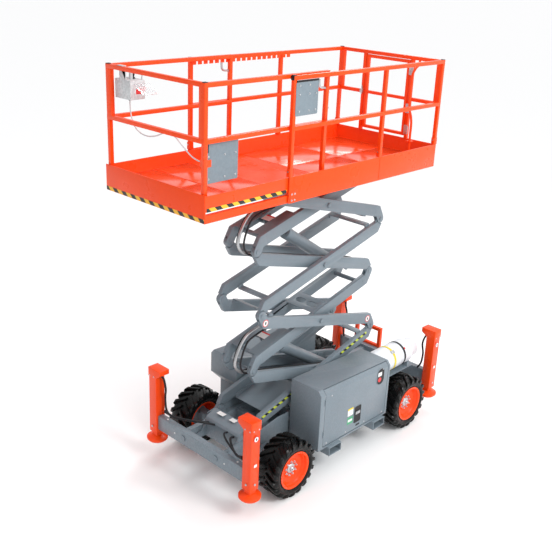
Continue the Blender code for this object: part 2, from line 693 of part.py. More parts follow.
def make_lift_cylinder(name, stage):
    """A barrel along +x of its own frame from its pin, and the rod that slides in it."""
    foot, head = arm_point(stage, True, BARREL_PIN), arm_point(stage + 1, False, ROD_PIN)
    along = head - foot
    length = along.length
    turn = (0, -math.atan2(along.z, along.x), 0)
    barrel = [
        rod((0.105, 0, 0), (GLAND_AT - 0.05, 0, 0), BARREL_R, 24),
        rod((GLAND_AT - 0.09, 0, 0), (GLAND_AT, 0, 0), BARREL_R + 0.002, 24),
        rod((0, -0.040, 0), (0, 0.040, 0), 0.045, 20),
        box((0.0, -0.0399, -0.035), (0.12, 0.0399, 0.035)),
    ]
    bore = rod((0.125, 0, 0), (GLAND_AT + 0.05, 0, 0), BORE_R, 20)
    pin_hole = rod((0, -0.05, 0), (0, 0.05, 0), 0.0255, 16)
    solid(name + "_barrel", paint("barrel grey", GREY), barrel, [bore, pin_hole], at=foot, turn=turn)
    rod_shapes = [
        rod((0.30, 0, 0), (length - 0.02, 0, 0), ROD_R, 20),
        rod((length, -0.036, 0), (length, 0.036, 0), 0.038, 20),
    ]
    eye = rod((length, -0.06, 0), (length, 0.06, 0), 0.024, 16)
    solid(name + "_rod", paint("rod steel", STEEL, 0.2, 1.0), rod_shapes, [eye], at=foot, turn=turn)


# Platform -----------------------------------------------------------------------------------------


def tube_box(x0, x1, y0, y1, z0, z1):
    return box((min(x0, x1), min(y0, y1), min(z0, z1)), (max(x0, x1), max(y0, y1), max(z0, z1)))


def rail_along_x(x0, x1, y, z, half=HALF_RAIL):
    return tube_box(x0, x1, y - half, y + half, z - half, z + half)


def rail_along_y(x, y0, y1, z, half=HALF_RAIL):
    return tube_box(x - half, x + half, y0, y1, z - half, z + half)


def upright(x, y, z0, z1, half=HALF_RAIL - 0.0005):
    return tube_box(x - half, x + half, y - half, y + half, z0, z1)


def make_deck():
    """Floor, side and rear panels, the brackets for the top arms, and the tracks over the rollers."""
    wall = 0.012
    shapes = [box((DECK_REAR, -DECK_Y + 0.001, FLOOR_LOW), (DECK_FRONT, DECK_Y - 0.001, FLOOR_TOP))]
    for side in (1, -1):
        shapes.append(block(DECK_REAR, DECK_FRONT, side, DECK_Y - wall, DECK_Y, SKIRT_LOW, TOE_TOP))
        shapes.append(block(DECK_REAR, 1.10, side, 0.36, 0.40, SKIRT_LOW + 0.01, FLOOR_LOW + 0.001))
        shapes.append(block(-1.02, 0.30, side, 0.11, 0.165, TOP_PIN_Z + ROLLER_R + 0.002, FLOOR_LOW + 0.001))
        foot = [(FRONT_PIN_X - 0.10, FLOOR_LOW + 0.001),
                *arc((FRONT_PIN_X, TOP_PIN_Z), BOSS_R, 180, 360, 8),
                (FRONT_PIN_X + 0.08, FLOOR_LOW + 0.001)]
        shapes.append(prism(foot, *span(side, OUTER_Y - TONGUE, OUTER_Y + TONGUE)))
    shapes.append(box((DECK_REAR, -DECK_Y + 0.0005, SKIRT_LOW + 0.0005),
                      (DECK_REAR + wall, DECK_Y - 0.0005, TOE_TOP - 0.0005)))
    for x in (-1.10, 0.85):
        shapes.append(box((x - 0.02, -0.38, SKIRT_LOW + 0.055), (x + 0.02, 0.38, FLOOR_LOW + 0.0015)))
    pin_hole = rod((FRONT_PIN_X, -0.34, TOP_PIN_Z), (FRONT_PIN_X, 0.34, TOP_PIN_Z), PIN_R + 0.0015, 20)
    gland_relief = box((0.37, -0.08, FLOOR_LOW - 0.01), (0.50, 0.08, FLOOR_LOW + 0.011))
    solid("platform_deck", paint("deck orange", ORANGE), shapes, [pin_hole, gland_relief])


def side_rail(side):
    """Top and mid rails on three posts, which stand on the side panel's upper edge."""
    y = side * SIDE_RAIL_Y
    front, rear = DECK_FRONT - HALF_RAIL, DECK_REAR + HALF_RAIL
    middle = -0.17 if side > 0 else -0.12
    shapes = [
        rail_along_x(rear - HALF_RAIL, front + HALF_RAIL, y, TOP_RAIL_Z),
        rail_along_x(rear, front, y, MID_RAIL_Z),
    ]
    for x in (rear, middle, front):
        shapes.append(upright(x, y, TOE_TOP + GAP, TOP_RAIL_Z))
    return shapes


def make_main_rails():
    orange = paint("rail orange", ORANGE)
    for name, side in (("left_rail", 1), ("right_rail", -1)):
        solid(name, orange, side_rail(side))


GATE_LEFT, GATE_RIGHT = 0.30, -0.32
GATE_GAP = 0.008


def make_rear_rail_and_gate():
    """The rear rail stands either side of the gate, and its top rail runs on over the gate."""
    orange = paint("rear rail orange", ORANGE)
    end_y = SIDE_RAIL_Y - HALF_RAIL - GAP
    x = DECK_REAR + HALF_RAIL
    shapes = [rail_along_y(x, -end_y, end_y, TOP_RAIL_Z)]
    for side, gate_edge in ((1, GATE_LEFT), (-1, -GATE_RIGHT)):
        y0, y1 = span(side, gate_edge, end_y)
        shapes.append(rail_along_y(x, y0, y1, MID_RAIL_Z))
        shapes.append(upright(x, side * (gate_edge + HALF_RAIL), TOE_TOP + GAP, TOP_RAIL_Z))
        shapes.append(upright(x, side * (end_y - HALF_RAIL), MID_RAIL_Z, TOP_RAIL_Z))
    solid("rear_rail", orange, shapes)
    half = HALF_RAIL - 0.002
    top, low = TOP_RAIL_Z - HALF_RAIL - GATE_GAP, TOE_TOP + 0.03
    hinge_y, free_y = GATE_LEFT - GATE_GAP - half, GATE_RIGHT + GATE_GAP + half
    reach = free_y - hinge_y
    shapes = [tube_box(-half, half, y - half, y + half, low, top) for y in (0.0, reach)]
    for z in (top - half, MID_RAIL_Z, low + half):
        shapes.append(tube_box(-half + 0.0005, half - 0.0005, 0.0, reach, z - half, z + half - 0.0005))
    solid("gate", orange, shapes, at=(x, hinge_y, 0))


def make_extension():
    """The roll-out deck: its floor slides over the main floor, and its beams slide under it."""
    wall, slot, plate = 0.010, 0.006, 0.012
    floor_low, front, rear = FLOOR_TOP + slot, EXTENSION_FRONT, EXTENSION_REAR
    floor_top, toe_top = floor_low + 0.010, TOE_TOP - 0.007
    out = EXTENSION_Y
    shapes = [box((front - plate, -out, SKIRT_LOW), (front, out, TOE_TOP))]
    shapes.append(box((rear, -out + 0.001, floor_low), (front - 0.002, out - 0.001, floor_top)))
    for side in (1, -1):
        shapes.append(block(rear, front - 0.001, side, out - wall, out, floor_low, toe_top))
        shapes.append(block(rear, front - 0.001, side, out - 0.04, out, SKIRT_LOW, FLOOR_LOW - slot))
    solid("extension_deck", paint("extension orange", ORANGE), shapes)
    y, top = EXTENSION_RAIL_Y, EXTENSION_TOP_Z
    x_front, x_rear = front - plate - GAP - HALF_RAIL, rear + HALF_RAIL + 0.005
    shapes = []
    for z in (MID_RAIL_Z, top):
        shapes.append(rail_along_y(x_front, -y - HALF_RAIL, y + HALF_RAIL, z))
        for side in (1, -1):
            shapes.append(rail_along_x(x_rear - HALF_RAIL, x_front, side * y, z - 0.0005))
    for side in (1, -1):
        for x in (x_rear, x_front):
            shapes.append(upright(x, side * y, floor_top + GAP, top))
        shapes.append(upright(x_front, side * (y - 2 * HALF_RAIL + 0.002), MID_RAIL_Z, top))
    shapes.append(box((x_front - 0.090, SOCKET_Y, SOCKET_Z - 0.030),
                      (x_front - 0.010, SOCKET_Y + 0.056, SOCKET_Z + 0.030)))
    solid("extension_rail", paint("extension rail orange", ORANGE), shapes)


def make_control_box():
    """The upper control box, hooked over the front rail near its right-hand corner."""
    rear_face = RAIL_REAR_FACE
    over = EXTENSION_TOP_Z + HALF_RAIL + GAP
    high = over - 0.12
    shapes = [
        box((rear_face - 0.16, -0.585, BOX_LOW), (rear_face - GAP, -0.36, high)),
        box((rear_face - 0.012, -0.52, high - 0.01), (rear_face - GAP, -0.43, over + 0.006)),
        box((rear_face - 0.0119, -0.5199, over), (rear_face + 0.03, -0.4301, over + 0.0059)),
        rod((rear_face - 0.09, -0.47, high - 0.01), (rear_face - 0.09, -0.47, high + 0.07), 0.018),
    ]
    solid("control_box", paint("box grey", GREY), shapes)


def smooth_route(knots, spacing):
    """Points at an even spacing along a smooth curve through the knots."""
    knots = [Vector(knot) for knot in knots]
    ends_out = [2 * knots[0] - knots[1], *knots, 2 * knots[-1] - knots[-2]]
    fine = []
    for a, b, c, d in zip(ends_out, ends_out[1:], ends_out[2:], ends_out[3:]):
        for step in range(20):
            t = step / 20
            fine.append(0.5 * (2 * b + (c - a) * t + (2 * a - 5 * b + 4 * c - d) * t**2
                               + (3 * b - a - 3 * c + d) * t**3))
    fine.append(knots[-1])
    points, travelled = [fine[0]], 0.0
    for before, after in zip(fine, fine[1:]):
        travelled += (after - before).length
        if travelled >= spacing:
            points.append(after)
            travelled = 0.0
    if (points[-1] - knots[-1]).length < spacing / 2:
        points.pop()
    return points + [knots[-1]]


def make_control_cable():
    """The lead from the control box, tied to the mid rail once and plugged in by the left corner."""
    knots = [
        (2.100, -0.470, BOX_LOW - GAP), (2.100, -0.467, 4.110), (2.118, -0.430, 4.010),
        (2.138, -0.340, 3.910), (2.150, -0.200, 3.868), (2.157, -0.050, 3.885), (2.162, 0.080, 3.934),
        (RAIL_REAR_FACE - CABLE_R - GAP, 0.160, MID_RAIL_Z), (2.158, 0.250, 3.925), (2.142, 0.340, 3.850),
        (2.132, 0.420, 3.795), (2.128, 0.500, SOCKET_Z), (2.128, SOCKET_Y - GAP, SOCKET_Z),
    ]
    points = smooth_route(knots, 5 * CABLE_R)
    curve = bpy.data.curves.new("control_cable", "CURVE")
    curve.dimensions = "3D"
    curve.bevel_depth = CABLE_R
    curve.bevel_resolution = 2
    curve.use_fill_caps = True
    spline = curve.splines.new("POLY")
    spline.points.add(len(points) - 1)
    for point, place_at in zip(spline.points, points):
        point.co = (*place_at, 1.0)
    obj = bpy.data.objects.new("control_cable", curve)
    bpy.context.scene.collection.objects.link(obj)
    curve.materials.append(paint("cable white", WHITE))
    place(obj, MACHINE, (0, 0, 0), (0, 0, 0))


clear_scene()
MACHINE = empty("machine", (MIDDLE_X, 0, 0))
make_chassis()
make_fork_pockets()
make_axles()
make_knuckles()
make_wheels()
make_outriggers()
make_hoods()
make_engine()
make_gas_bottle()
make_ladder()
make_outer_arms()
make_inner_arms()
make_lift_cylinder("lower_lift", 1)
make_lift_cylinder("upper_lift", 3)
make_deck()
make_main_rails()
make_rear_rail_and_gate()
make_extension()
make_control_box()
make_control_cable()
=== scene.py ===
# %% [markdown]
# # A rough-terrain scissor lift, finished piece by piece
# The machine arrives as a plain engineering model: frames, arms, rails and wheels, each with the body it
# moves with. This lesson keeps every size and place from it, and adds what the eye looks for: rounded
# steel edges, paint, tread, bolts, tape, hoses and labels. All lengths are in metres, with +X to the
# steering end, +Y to the machine's left and the ground at zero.

# %% Load the machine
import json
import math
import random

import bmesh
import bpy
from mathutils import Matrix, Vector

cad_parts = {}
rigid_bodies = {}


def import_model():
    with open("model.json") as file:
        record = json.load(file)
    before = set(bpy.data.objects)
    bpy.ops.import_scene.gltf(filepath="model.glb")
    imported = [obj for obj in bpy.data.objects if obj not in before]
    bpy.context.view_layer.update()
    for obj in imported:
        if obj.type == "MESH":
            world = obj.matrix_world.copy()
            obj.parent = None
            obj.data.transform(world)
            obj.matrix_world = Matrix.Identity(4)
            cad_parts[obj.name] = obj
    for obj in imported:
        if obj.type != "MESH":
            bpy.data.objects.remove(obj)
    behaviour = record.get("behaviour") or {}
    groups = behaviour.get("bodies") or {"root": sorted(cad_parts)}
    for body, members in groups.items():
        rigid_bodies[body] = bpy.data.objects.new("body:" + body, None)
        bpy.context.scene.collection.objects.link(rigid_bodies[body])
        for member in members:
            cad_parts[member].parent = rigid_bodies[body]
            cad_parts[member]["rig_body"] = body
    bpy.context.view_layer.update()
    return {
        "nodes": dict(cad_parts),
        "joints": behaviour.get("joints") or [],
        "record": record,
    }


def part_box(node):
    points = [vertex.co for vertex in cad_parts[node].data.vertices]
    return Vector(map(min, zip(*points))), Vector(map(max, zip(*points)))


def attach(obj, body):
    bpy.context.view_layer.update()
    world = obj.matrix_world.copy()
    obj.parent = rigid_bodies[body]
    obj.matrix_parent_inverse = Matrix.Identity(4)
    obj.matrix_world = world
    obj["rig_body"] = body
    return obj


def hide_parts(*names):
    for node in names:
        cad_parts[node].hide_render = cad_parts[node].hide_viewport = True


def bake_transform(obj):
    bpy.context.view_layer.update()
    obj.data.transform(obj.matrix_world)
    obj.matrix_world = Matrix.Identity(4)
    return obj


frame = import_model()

PIVOT = {joint["name"]: Vector(joint["pos_m"]) for joint in frame["joints"] if "pos_m" in joint}
SIDES = ((1, "left"), (-1, "right"))
ENDS = ("front", "rear")
dice = random.Random(7)

# %% [markdown]
# ## The view
# A camera is a point, a direction and a focal length. The direction is built from three axes that stand
# square to each other. The slight roll turns two of them around the third.

# %% Camera
EYE = Vector((6.4056, 5.6904, 5.4408))
LOOKS_AT = Vector((-6.0089, -5.8676, -1.2042))
ROLL = 0.0440


def aim_camera():
    lens = bpy.data.cameras.new("studio_camera")
    lens.lens, lens.sensor_width, lens.clip_end = 53.92, 36.0, 900.0
    camera = bpy.data.objects.new("studio_camera", lens)
    bpy.context.scene.collection.objects.link(camera)
    ahead = (LOOKS_AT - EYE).normalized()
    right = ahead.cross(Vector((0, 0, 1))).normalized()
    up = right.cross(ahead)
    right, up = right * math.cos(ROLL) + up * math.sin(ROLL), up * math.cos(ROLL) - right * math.sin(ROLL)
    turn = Matrix((right, up, -ahead)).transposed().to_4x4()
    camera.matrix_world = Matrix.Translation(EYE) @ turn
    bpy.context.scene.camera = camera


aim_camera()
print("camera stands", round((EYE - LOOKS_AT).length, 2), "m from the point behind the machine")

# %% [markdown]
# ## Shapes that everything else uses
# Each helper starts a small bmesh from an operator, rounds its edges with a bevel, and hands it back.
# `join` moves that small shape into a larger one, so a piece of many parts stays one object.

# %% Small shapes
def round_edges(shape, width, steps=2, sharper_than=25):
    """Bevels the edges that fold more than an angle, as a fillet or a paint edge does on steel."""
    folds = [edge for edge in shape.edges
             if len(edge.link_faces) == 2 and edge.calc_face_angle() > math.radians(sharper_than)]
    if folds and width > 0:
        bmesh.ops.bevel(shape, geom=folds, offset=width, offset_type="OFFSET", segments=steps, profile=0.5,
                        affect="EDGES", clamp_overlap=True, material=-1)
    return shape


def slab(low, high, edge=0.002, steps=2):
    """A box between two corners."""
    low, high = Vector(low), Vector(high)
    shape = bmesh.new()
    bmesh.ops.create_cube(shape, size=1.0)
    bmesh.ops.scale(shape, vec=high - low, verts=shape.verts)
    bmesh.ops.translate(shape, vec=(low + high) / 2, verts=shape.verts)
    return round_edges(shape, edge, steps)


def disc(radius, depth, sides=24, edge=0.0, second=None):
    """A short cylinder or cone along Z, standing on Z = 0."""
    shape = bmesh.new()
    bmesh.ops.create_cone(shape, cap_ends=True, segments=sides, radius1=radius,
                          radius2=radius if second is None else second, depth=depth)
    bmesh.ops.translate(shape, vec=(0, 0, depth / 2), verts=shape.verts)
    return round_edges(shape, edge, 1, 50)


def outline_plate(points, thickness, edge=0.001):
    """A flat plate with any outline in the XY plane, thickened along +Z."""
    shape = bmesh.new()
    face = shape.faces.new([shape.verts.new((x, y, 0)) for x, y in points])
    grown = bmesh.ops.extrude_face_region(shape, geom=[face])["geom"]
    moved = [item for item in grown if isinstance(item, bmesh.types.BMVert)]
    bmesh.ops.translate(shape, vec=(0, 0, thickness), verts=moved)
    bmesh.ops.recalc_face_normals(shape, faces=shape.faces)
    return round_edges(shape, edge, 1, 50)


def soft_corners(wide, high, radius, steps=4):
    """The outline of a rectangle with round corners, about its centre."""
    points = []
    for corner, (x, y) in enumerate(((1, 1), (-1, 1), (-1, -1), (1, -1))):
        centre = Vector((x * (wide / 2 - radius), y * (high / 2 - radius)))
        for step in range(steps + 1):
            angle = math.radians(90 * (corner + step / steps))
            points.append((centre.x + radius * math.cos(angle), centre.y + radius * math.sin(angle)))
    return points


def lathe(profile, steps=48, axis=(0, 1, 0)):
    """Spins a profile of (radius, place along the axis) pairs all the way round an axis."""
    shape = bmesh.new()
    along = Vector(axis)
    out = Vector((1, 0, 0)) if abs(along.x) < 0.5 else Vector((0, 0, 1))
    points = [shape.verts.new(out * radius + along * place) for radius, place in profile]
    for one, other in zip(points, points[1:]):
        shape.edges.new((one, other))
    bmesh.ops.spin(shape, geom=shape.verts[:] + shape.edges[:], cent=(0, 0, 0), axis=along,
                   angle=2 * math.pi, steps=steps, use_merge=True)
    bmesh.ops.remove_doubles(shape, verts=shape.verts, dist=1e-5)
    bmesh.ops.recalc_face_normals(shape, faces=shape.faces)
    return shape


def bar(start, end, radius, sides=12):
    """A round bar between two points."""
    start, end = Vector(start), Vector(end)
    shape = disc(radius, (end - start).length, sides)
    turn = Vector((0, 0, 1)).rotation_difference(end - start).to_matrix().to_4x4()
    bmesh.ops.transform(shape, matrix=Matrix.Translation(start) @ turn, verts=shape.verts)
    return shape


def join(target, *shapes, at=None):
    """Moves small shapes into a larger one, each through the placing matrix at."""
    for shape in shapes:
        if at is not None:
            bmesh.ops.transform(shape, matrix=at, verts=shape.verts)
        if at is not None and at.determinant() < 0:
            bmesh.ops.reverse_faces(shape, faces=shape.faces)
        carrier = bpy.data.meshes.new("carrier")
        shape.to_mesh(carrier)
        shape.free()
        target.from_mesh(carrier)
        bpy.data.meshes.remove(carrier)
    return target


def placed(*shapes, at):
    """A new shape made of small ones, each through the placing matrix at."""
    return join(bmesh.new(), *shapes, at=at)


def facing(point, normal, up=(0, 0, 1)):
    """A placing matrix whose +Z leaves a surface at a point and whose +Y is as near as can be to up."""
    out = Vector(normal).normalized()
    side = Vector(up).cross(out).normalized()
    return Matrix.Translation(Vector(point)) @ Matrix((side, out.cross(side), out)).transposed().to_4x4()


print("helpers ready")

# %% [markdown]
# ## Putting a piece on the machine
# A mesh object gets smooth shading with creases where the surface folds. It gets a finish, rides on one
# body of the machine, and may stand in for a plain engineering node.

# %% Show a piece
MADE = []
USUAL_SLOT = {"grey enamel": "grey_paint", "orange enamel": "orange_paint", "zinc plate": "rod_chrome",
              "black plastic": "tyre_rubber", "bottle white": "bottle_white", "white film": "box_grey",
              "red film": "box_grey"}


def show(shape, name, body, finish, slot=None, crease=32, replaces=()):
    """Makes a piece of a shape. slot, or else the finish's usual slot, is worked out but not put on the
    piece.
    """
    mesh = bpy.data.meshes.new(name)
    shape.to_mesh(mesh)
    shape.free()
    mesh.polygons.foreach_set("use_smooth", [True] * len(mesh.polygons))
    mesh.set_sharp_from_angle(angle=math.radians(crease))
    piece = bpy.data.objects.new(name, mesh)
    bpy.context.scene.collection.objects.link(piece)
    mesh.materials.append(finish)
    slot = slot or USUAL_SLOT[finish.name]
    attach(piece, body)
    if replaces:
        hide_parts(*replaces)
    MADE.append(piece)
    return piece


# %% [markdown]
# ## Paint
# Enamel on a working machine is never one colour. Broad noise makes it slightly warmer and cooler, fine
# noise lays on dust, edges are painted pale where the surface turns sharply, partly as rub wear and partly
# as a painted highlight, and a very fine bump gives the orange-peel skin of sprayed paint. Everything reads
# object coordinates, so the pattern stays put.

# %% Node helpers
def start_finish(name):
    """A new material with its shader and object coordinates."""
    material = bpy.data.materials.new(name)
    material.use_nodes = True
    tree = material.node_tree
    shader = tree.nodes["Principled BSDF"]
    place = tree.nodes.new("ShaderNodeTexCoord").outputs["Object"]
    return material, tree, shader, place


def grain(tree, place, scale, detail=4.0, rough=0.55):
    noise = tree.nodes.new("ShaderNodeTexNoise")
    noise.inputs["Scale"].default_value = scale
    noise.inputs["Detail"].default_value = detail
    noise.inputs["Roughness"].default_value = rough
    tree.links.new(place, noise.inputs["Vector"])
    return noise.outputs["Fac"]


def spread(tree, value, low, high, to_low=0.0, to_high=1.0):
    """Stretches part of a value's range over another range."""
    node = tree.nodes.new("ShaderNodeMapRange")
    for socket, number in zip(("From Min", "From Max", "To Min", "To Max"), (low, high, to_low, to_high)):
        node.inputs[socket].default_value = number
    tree.links.new(value, node.inputs["Value"])
    return node.outputs["Result"]


def blend_colours(tree, amount, one, other):
    node = tree.nodes.new("ShaderNodeMix")
    node.data_type = "RGBA"
    for socket, colour in ((6, one), (7, other)):
        if isinstance(colour, tuple):
            node.inputs[socket].default_value = (*colour, 1.0)
        else:
            tree.links.new(colour, node.inputs[socket])
    tree.links.new(amount, node.inputs[0])
    return node.outputs[2]


def times(tree, one, other):
    node = tree.nodes.new("ShaderNodeMath")
    node.operation = "MULTIPLY"
    tree.links.new(one, node.inputs[0])
    if isinstance(other, float):
        node.inputs[1].default_value = other
    else:
        tree.links.new(other, node.inputs[1])
    return node.outputs[0]


def skin(tree, shader, height, strength, distance=0.001):
    """Turns a height into bump on the shader."""
    bump = tree.nodes.new("ShaderNodeBump")
    bump.inputs["Strength"].default_value = strength
    bump.inputs["Distance"].default_value = distance
    tree.links.new(height, bump.inputs["Height"])
    tree.links.new(bump.outputs["Normal"], shader.inputs["Normal"])


def cloudy_gloss(tree, shader, place, scale, low, high, detail=4.0):
    """Roughness that drifts between two values over the surface."""
    drift = spread(tree, grain(tree, place, scale, detail), 0.3, 0.7, low, high)
    tree.links.new(drift, shader.inputs["Roughness"])


def tint(colour, factor):
    return tuple(min(1.0, channel * factor) for channel in colour)


def enamel(name, colour, rough=0.38, dust=(0.42, 0.38, 0.33), dust_amount=0.20, edge_wear_and_highlight=0.5, coat=0.25,
           mottle=0.07, shine=0.4):
    """Sprayed paint: broad mottle, settled dust, edges painted pale as rub wear and as a painted highlight,
    and an orange-peel skin.
    """
    material, tree, shader, place = start_finish(name)
    broad = spread(tree, grain(tree, place, 1.7, 6.0), 0.3, 0.7)
    base = blend_colours(tree, broad, tint(colour, 1 - mottle), tint(colour, 1 + mottle))
    speck = spread(tree, grain(tree, place, 22.0, 8.0, 0.7), 0.52, 0.75, 0.0, dust_amount)
    base = blend_colours(tree, speck, base, dust)
    # Sharp edges, found by pointiness, are painted pale: partly rub wear, partly a painted highlight along
    # the folds.
    bend = tree.nodes.new("ShaderNodeNewGeometry").outputs["Pointiness"]
    patchy = spread(tree, grain(tree, place, 45.0), 0.4, 0.6)
    edge_wear_and_highlight_mask = times(tree, spread(tree, bend, 0.53, 0.62, 0.0, edge_wear_and_highlight), patchy)
    base = blend_colours(tree, edge_wear_and_highlight_mask, base, tint(colour, 1.55))
    tree.links.new(base, shader.inputs["Base Color"])
    cloudy_gloss(tree, shader, place, 5.0, rough - 0.06, rough + 0.10, 5.0)
    shader.inputs["Specular IOR Level"].default_value = shine
    shader.inputs["Coat Weight"].default_value = coat
    shader.inputs["Coat Roughness"].default_value = 0.18
    skin(tree, shader, grain(tree, place, 190.0, 2.0), 0.10)
    return material


grey_enamel = enamel("grey enamel", (0.166, 0.207, 0.238), dust_amount=0.10, coat=0.12)
orange_enamel = enamel("orange enamel", (0.93, 0.066, 0.006), rough=0.30, dust=(0.85, 0.20, 0.08),
                       dust_amount=0.10, edge_wear_and_highlight=0.3, coat=0.06, mottle=0.05, shine=0.22)
white_enamel = enamel("bottle white", (0.72, 0.76, 0.80), dust_amount=0.25, edge_wear_and_highlight=0.2)
box_enamel = enamel("box grey", (0.50, 0.52, 0.53), rough=0.42, coat=0.1)
floor_gloss = enamel("floor gloss", (0.93, 0.075, 0.010), rough=0.16, dust=(0.88, 0.30, 0.18),
                     dust_amount=0.18, edge_wear_and_highlight=0.2, coat=0.5, mottle=0.06, shine=0.4)
print("paints", grey_enamel.name, orange_enamel.name, white_enamel.name, box_enamel.name)

# %% [markdown]
# ## Rubber, plastic and bare metal
# Rubber is dark and slightly dusty in its pores. Moulded plastic is a little glossier. Bright metal is
# almost smooth along a ground rod, and cloudy on a zinc-plated bolt.

# %% Dark and bright finishes
def moulded(name, colour, rough, pores=90.0, depth=0.25, dust=0.25):
    """Rubber or plastic with a pored skin that holds dust."""
    material, tree, shader, place = start_finish(name)
    clouds = spread(tree, grain(tree, place, 6.0, 6.0), 0.35, 0.75, 0.0, dust)
    base = blend_colours(tree, clouds, colour, tint(colour, 2.6))
    tree.links.new(base, shader.inputs["Base Color"])
    cloudy_gloss(tree, shader, place, 14.0, rough - 0.1, rough + 0.1)
    shader.inputs["Specular IOR Level"].default_value = 0.22
    skin(tree, shader, grain(tree, place, pores, 4.0), depth)
    return material


def bright_metal(name, colour, rough, scratch=120.0, depth=0.06):
    """Bare or plated metal with cloudy gloss and fine marks."""
    material, tree, shader, place = start_finish(name)
    cloud = spread(tree, grain(tree, place, 9.0, 5.0), 0.3, 0.7)
    tree.links.new(blend_colours(tree, cloud, tint(colour, 0.80), colour), shader.inputs["Base Color"])
    cloudy_gloss(tree, shader, place, 30.0, rough - 0.07, rough + 0.12)
    shader.inputs["Metallic"].default_value = 1.0
    skin(tree, shader, grain(tree, place, scratch, 3.0), depth)
    return material


tyre_rubber = moulded("tyre rubber", (0.003, 0.003, 0.003), 0.30, dust=0.10)
hose_rubber = moulded("hose rubber", (0.016, 0.016, 0.018), 0.45)
black_plastic = moulded("black plastic", (0.013, 0.013, 0.014), 0.38, 140.0, 0.12)
cable_sheath = moulded("pale cable sheath", (0.62, 0.63, 0.64), 0.45, 200.0, 0.08, 0.05)
dark_bay = moulded("engine black", (0.020, 0.021, 0.022), 0.55)
bright_rod = bright_metal("ground rod", (0.78, 0.79, 0.80), 0.16)
zinc = bright_metal("zinc plate", (0.62, 0.64, 0.66), 0.32)
braid = bright_metal("braided sleeve", (0.50, 0.51, 0.52), 0.38, 300.0, 0.3)
print("dark and bright finishes ready")

# %% [markdown]
# ## Striped tape and blank labels
# Hazard tape is two colours that swap along a slanted line. The dot product of a point with a direction
# says how far along that direction it lies, and the remainder after dividing by the pitch gives stripes.
# Labels are printed film: a little glossy, and left blank.

# %% Tape and label finishes
def striped(name, slant, pitch, light, dark=(0.012, 0.012, 0.012)):
    material, tree, shader, place = start_finish(name)
    along = tree.nodes.new("ShaderNodeVectorMath")
    along.operation = "DOT_PRODUCT"
    along.inputs[1].default_value = tuple(part / pitch for part in slant)
    tree.links.new(place, along.inputs[0])
    rest = tree.nodes.new("ShaderNodeMath")
    rest.operation = "FRACT"
    tree.links.new(along.outputs["Value"], rest.inputs[0])
    stripe = spread(tree, rest.outputs[0], 0.49, 0.51)
    base = blend_colours(tree, stripe, dark, light)
    scuff = spread(tree, grain(tree, place, 60.0, 6.0), 0.60, 0.75, 0.0, 0.4)
    tree.links.new(blend_colours(tree, scuff, base, (0.30, 0.28, 0.24)), shader.inputs["Base Color"])
    cloudy_gloss(tree, shader, place, 12.0, 0.26, 0.42)
    skin(tree, shader, grain(tree, place, 240.0, 2.0), 0.06)
    return material


def film(name, colour):
    """Blank printed film."""
    material, tree, shader, place = start_finish(name)
    faded = spread(tree, grain(tree, place, 30.0, 6.0), 0.35, 0.75, 0.0, 0.25)
    tree.links.new(blend_colours(tree, faded, colour, tint(colour, 0.75)), shader.inputs["Base Color"])
    cloudy_gloss(tree, shader, place, 18.0, 0.28, 0.45)
    skin(tree, shader, grain(tree, place, 150.0, 2.0), 0.05)
    return material


YELLOW, LIME = (0.88, 0.46, 0.02), (0.52, 0.62, 0.04)
front_tape = striped("front hazard tape", (0.0, 0.85, 0.85), 0.115, YELLOW)
side_tape = striped("side hazard tape", (0.85, 0.0, -0.85), 0.115, YELLOW)
white_film = film("white film", (0.78, 0.78, 0.77))
red_film = film("red film", (0.70, 0.03, 0.03))
yellow_film = film("yellow film", (0.80, 0.62, 0.03))
green_film = film("green film", (0.05, 0.34, 0.16))
print("tape and film ready")

# %% [markdown]
# ## Steel with rounded edges
# Cut and folded steel never has a knife edge, and it is the thin bright line along an edge that makes a
# panel look real. A copy of each plain node is merged, its flat faces are dissolved into whole ones, and
# a small bevel rounds every fold. The copy then stands in for the node.

# %% Rounded copies of the steel nodes
def rounded_copy(node, finish, slot, edge=0.0035, steps=2):
    source = frame["nodes"][node]
    shape = bmesh.new()
    shape.from_mesh(source.data)
    bmesh.ops.remove_doubles(shape, verts=shape.verts, dist=2e-5)
    bmesh.ops.dissolve_limit(shape, angle_limit=math.radians(0.8), use_dissolve_boundaries=False,
                             verts=shape.verts, edges=shape.edges)
    round_edges(shape, edge, steps, 24)
    body = source["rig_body"]
    return show(shape, node + "_steel", body, finish, slot, 30, (node,))


GREY_NODES = ["chassis_frame", "front_fork_pocket", "rear_fork_pocket", "front_axle", "rear_axle",
              "left_knuckle", "right_knuckle", "left_hood", "left_hood_door", "right_hood",
              "right_hood_door", "bottle_cradle", "lower_lift_barrel", "upper_lift_barrel"]
GREY_NODES += [f"{kind}_arm_{number}" for kind in ("outer", "inner") for number in range(1, 5)]
ORANGE_NODES = ["ladder", "platform_deck", "left_rail", "right_rail", "rear_rail", "gate", "extension_deck",
                "extension_rail"]
ORANGE_NODES += [f"{end}_{side_name}_{part}" for end in ENDS for _, side_name in SIDES
                 for part in ("outrigger", "foot")]
for node in GREY_NODES:
    rounded_copy(node, grey_enamel, "barrel_grey" if node.endswith("barrel") else "grey_paint")
for node in ORANGE_NODES:
    rounded_copy(node, orange_enamel, "orange_paint", 0.003 if "rail" in node or node == "gate" else 0.004)
rounded_copy("engine_block", dark_bay, "engine_black")
rounded_copy("control_box", box_enamel, "box_grey", 0.004, 3)
print("rounded", len(MADE), "steel nodes with", sum(len(piece.data.polygons) for piece in MADE), "faces")

# %% Finishes for the nodes that stay
for node, finish in (("lower_lift_rod", bright_rod), ("upper_lift_rod", bright_rod),
                     ("control_cable", cable_sheath)):
    mesh = frame["nodes"][node].data
    mesh.materials.clear()
    mesh.materials.append(finish)
print("rods and cable finished")

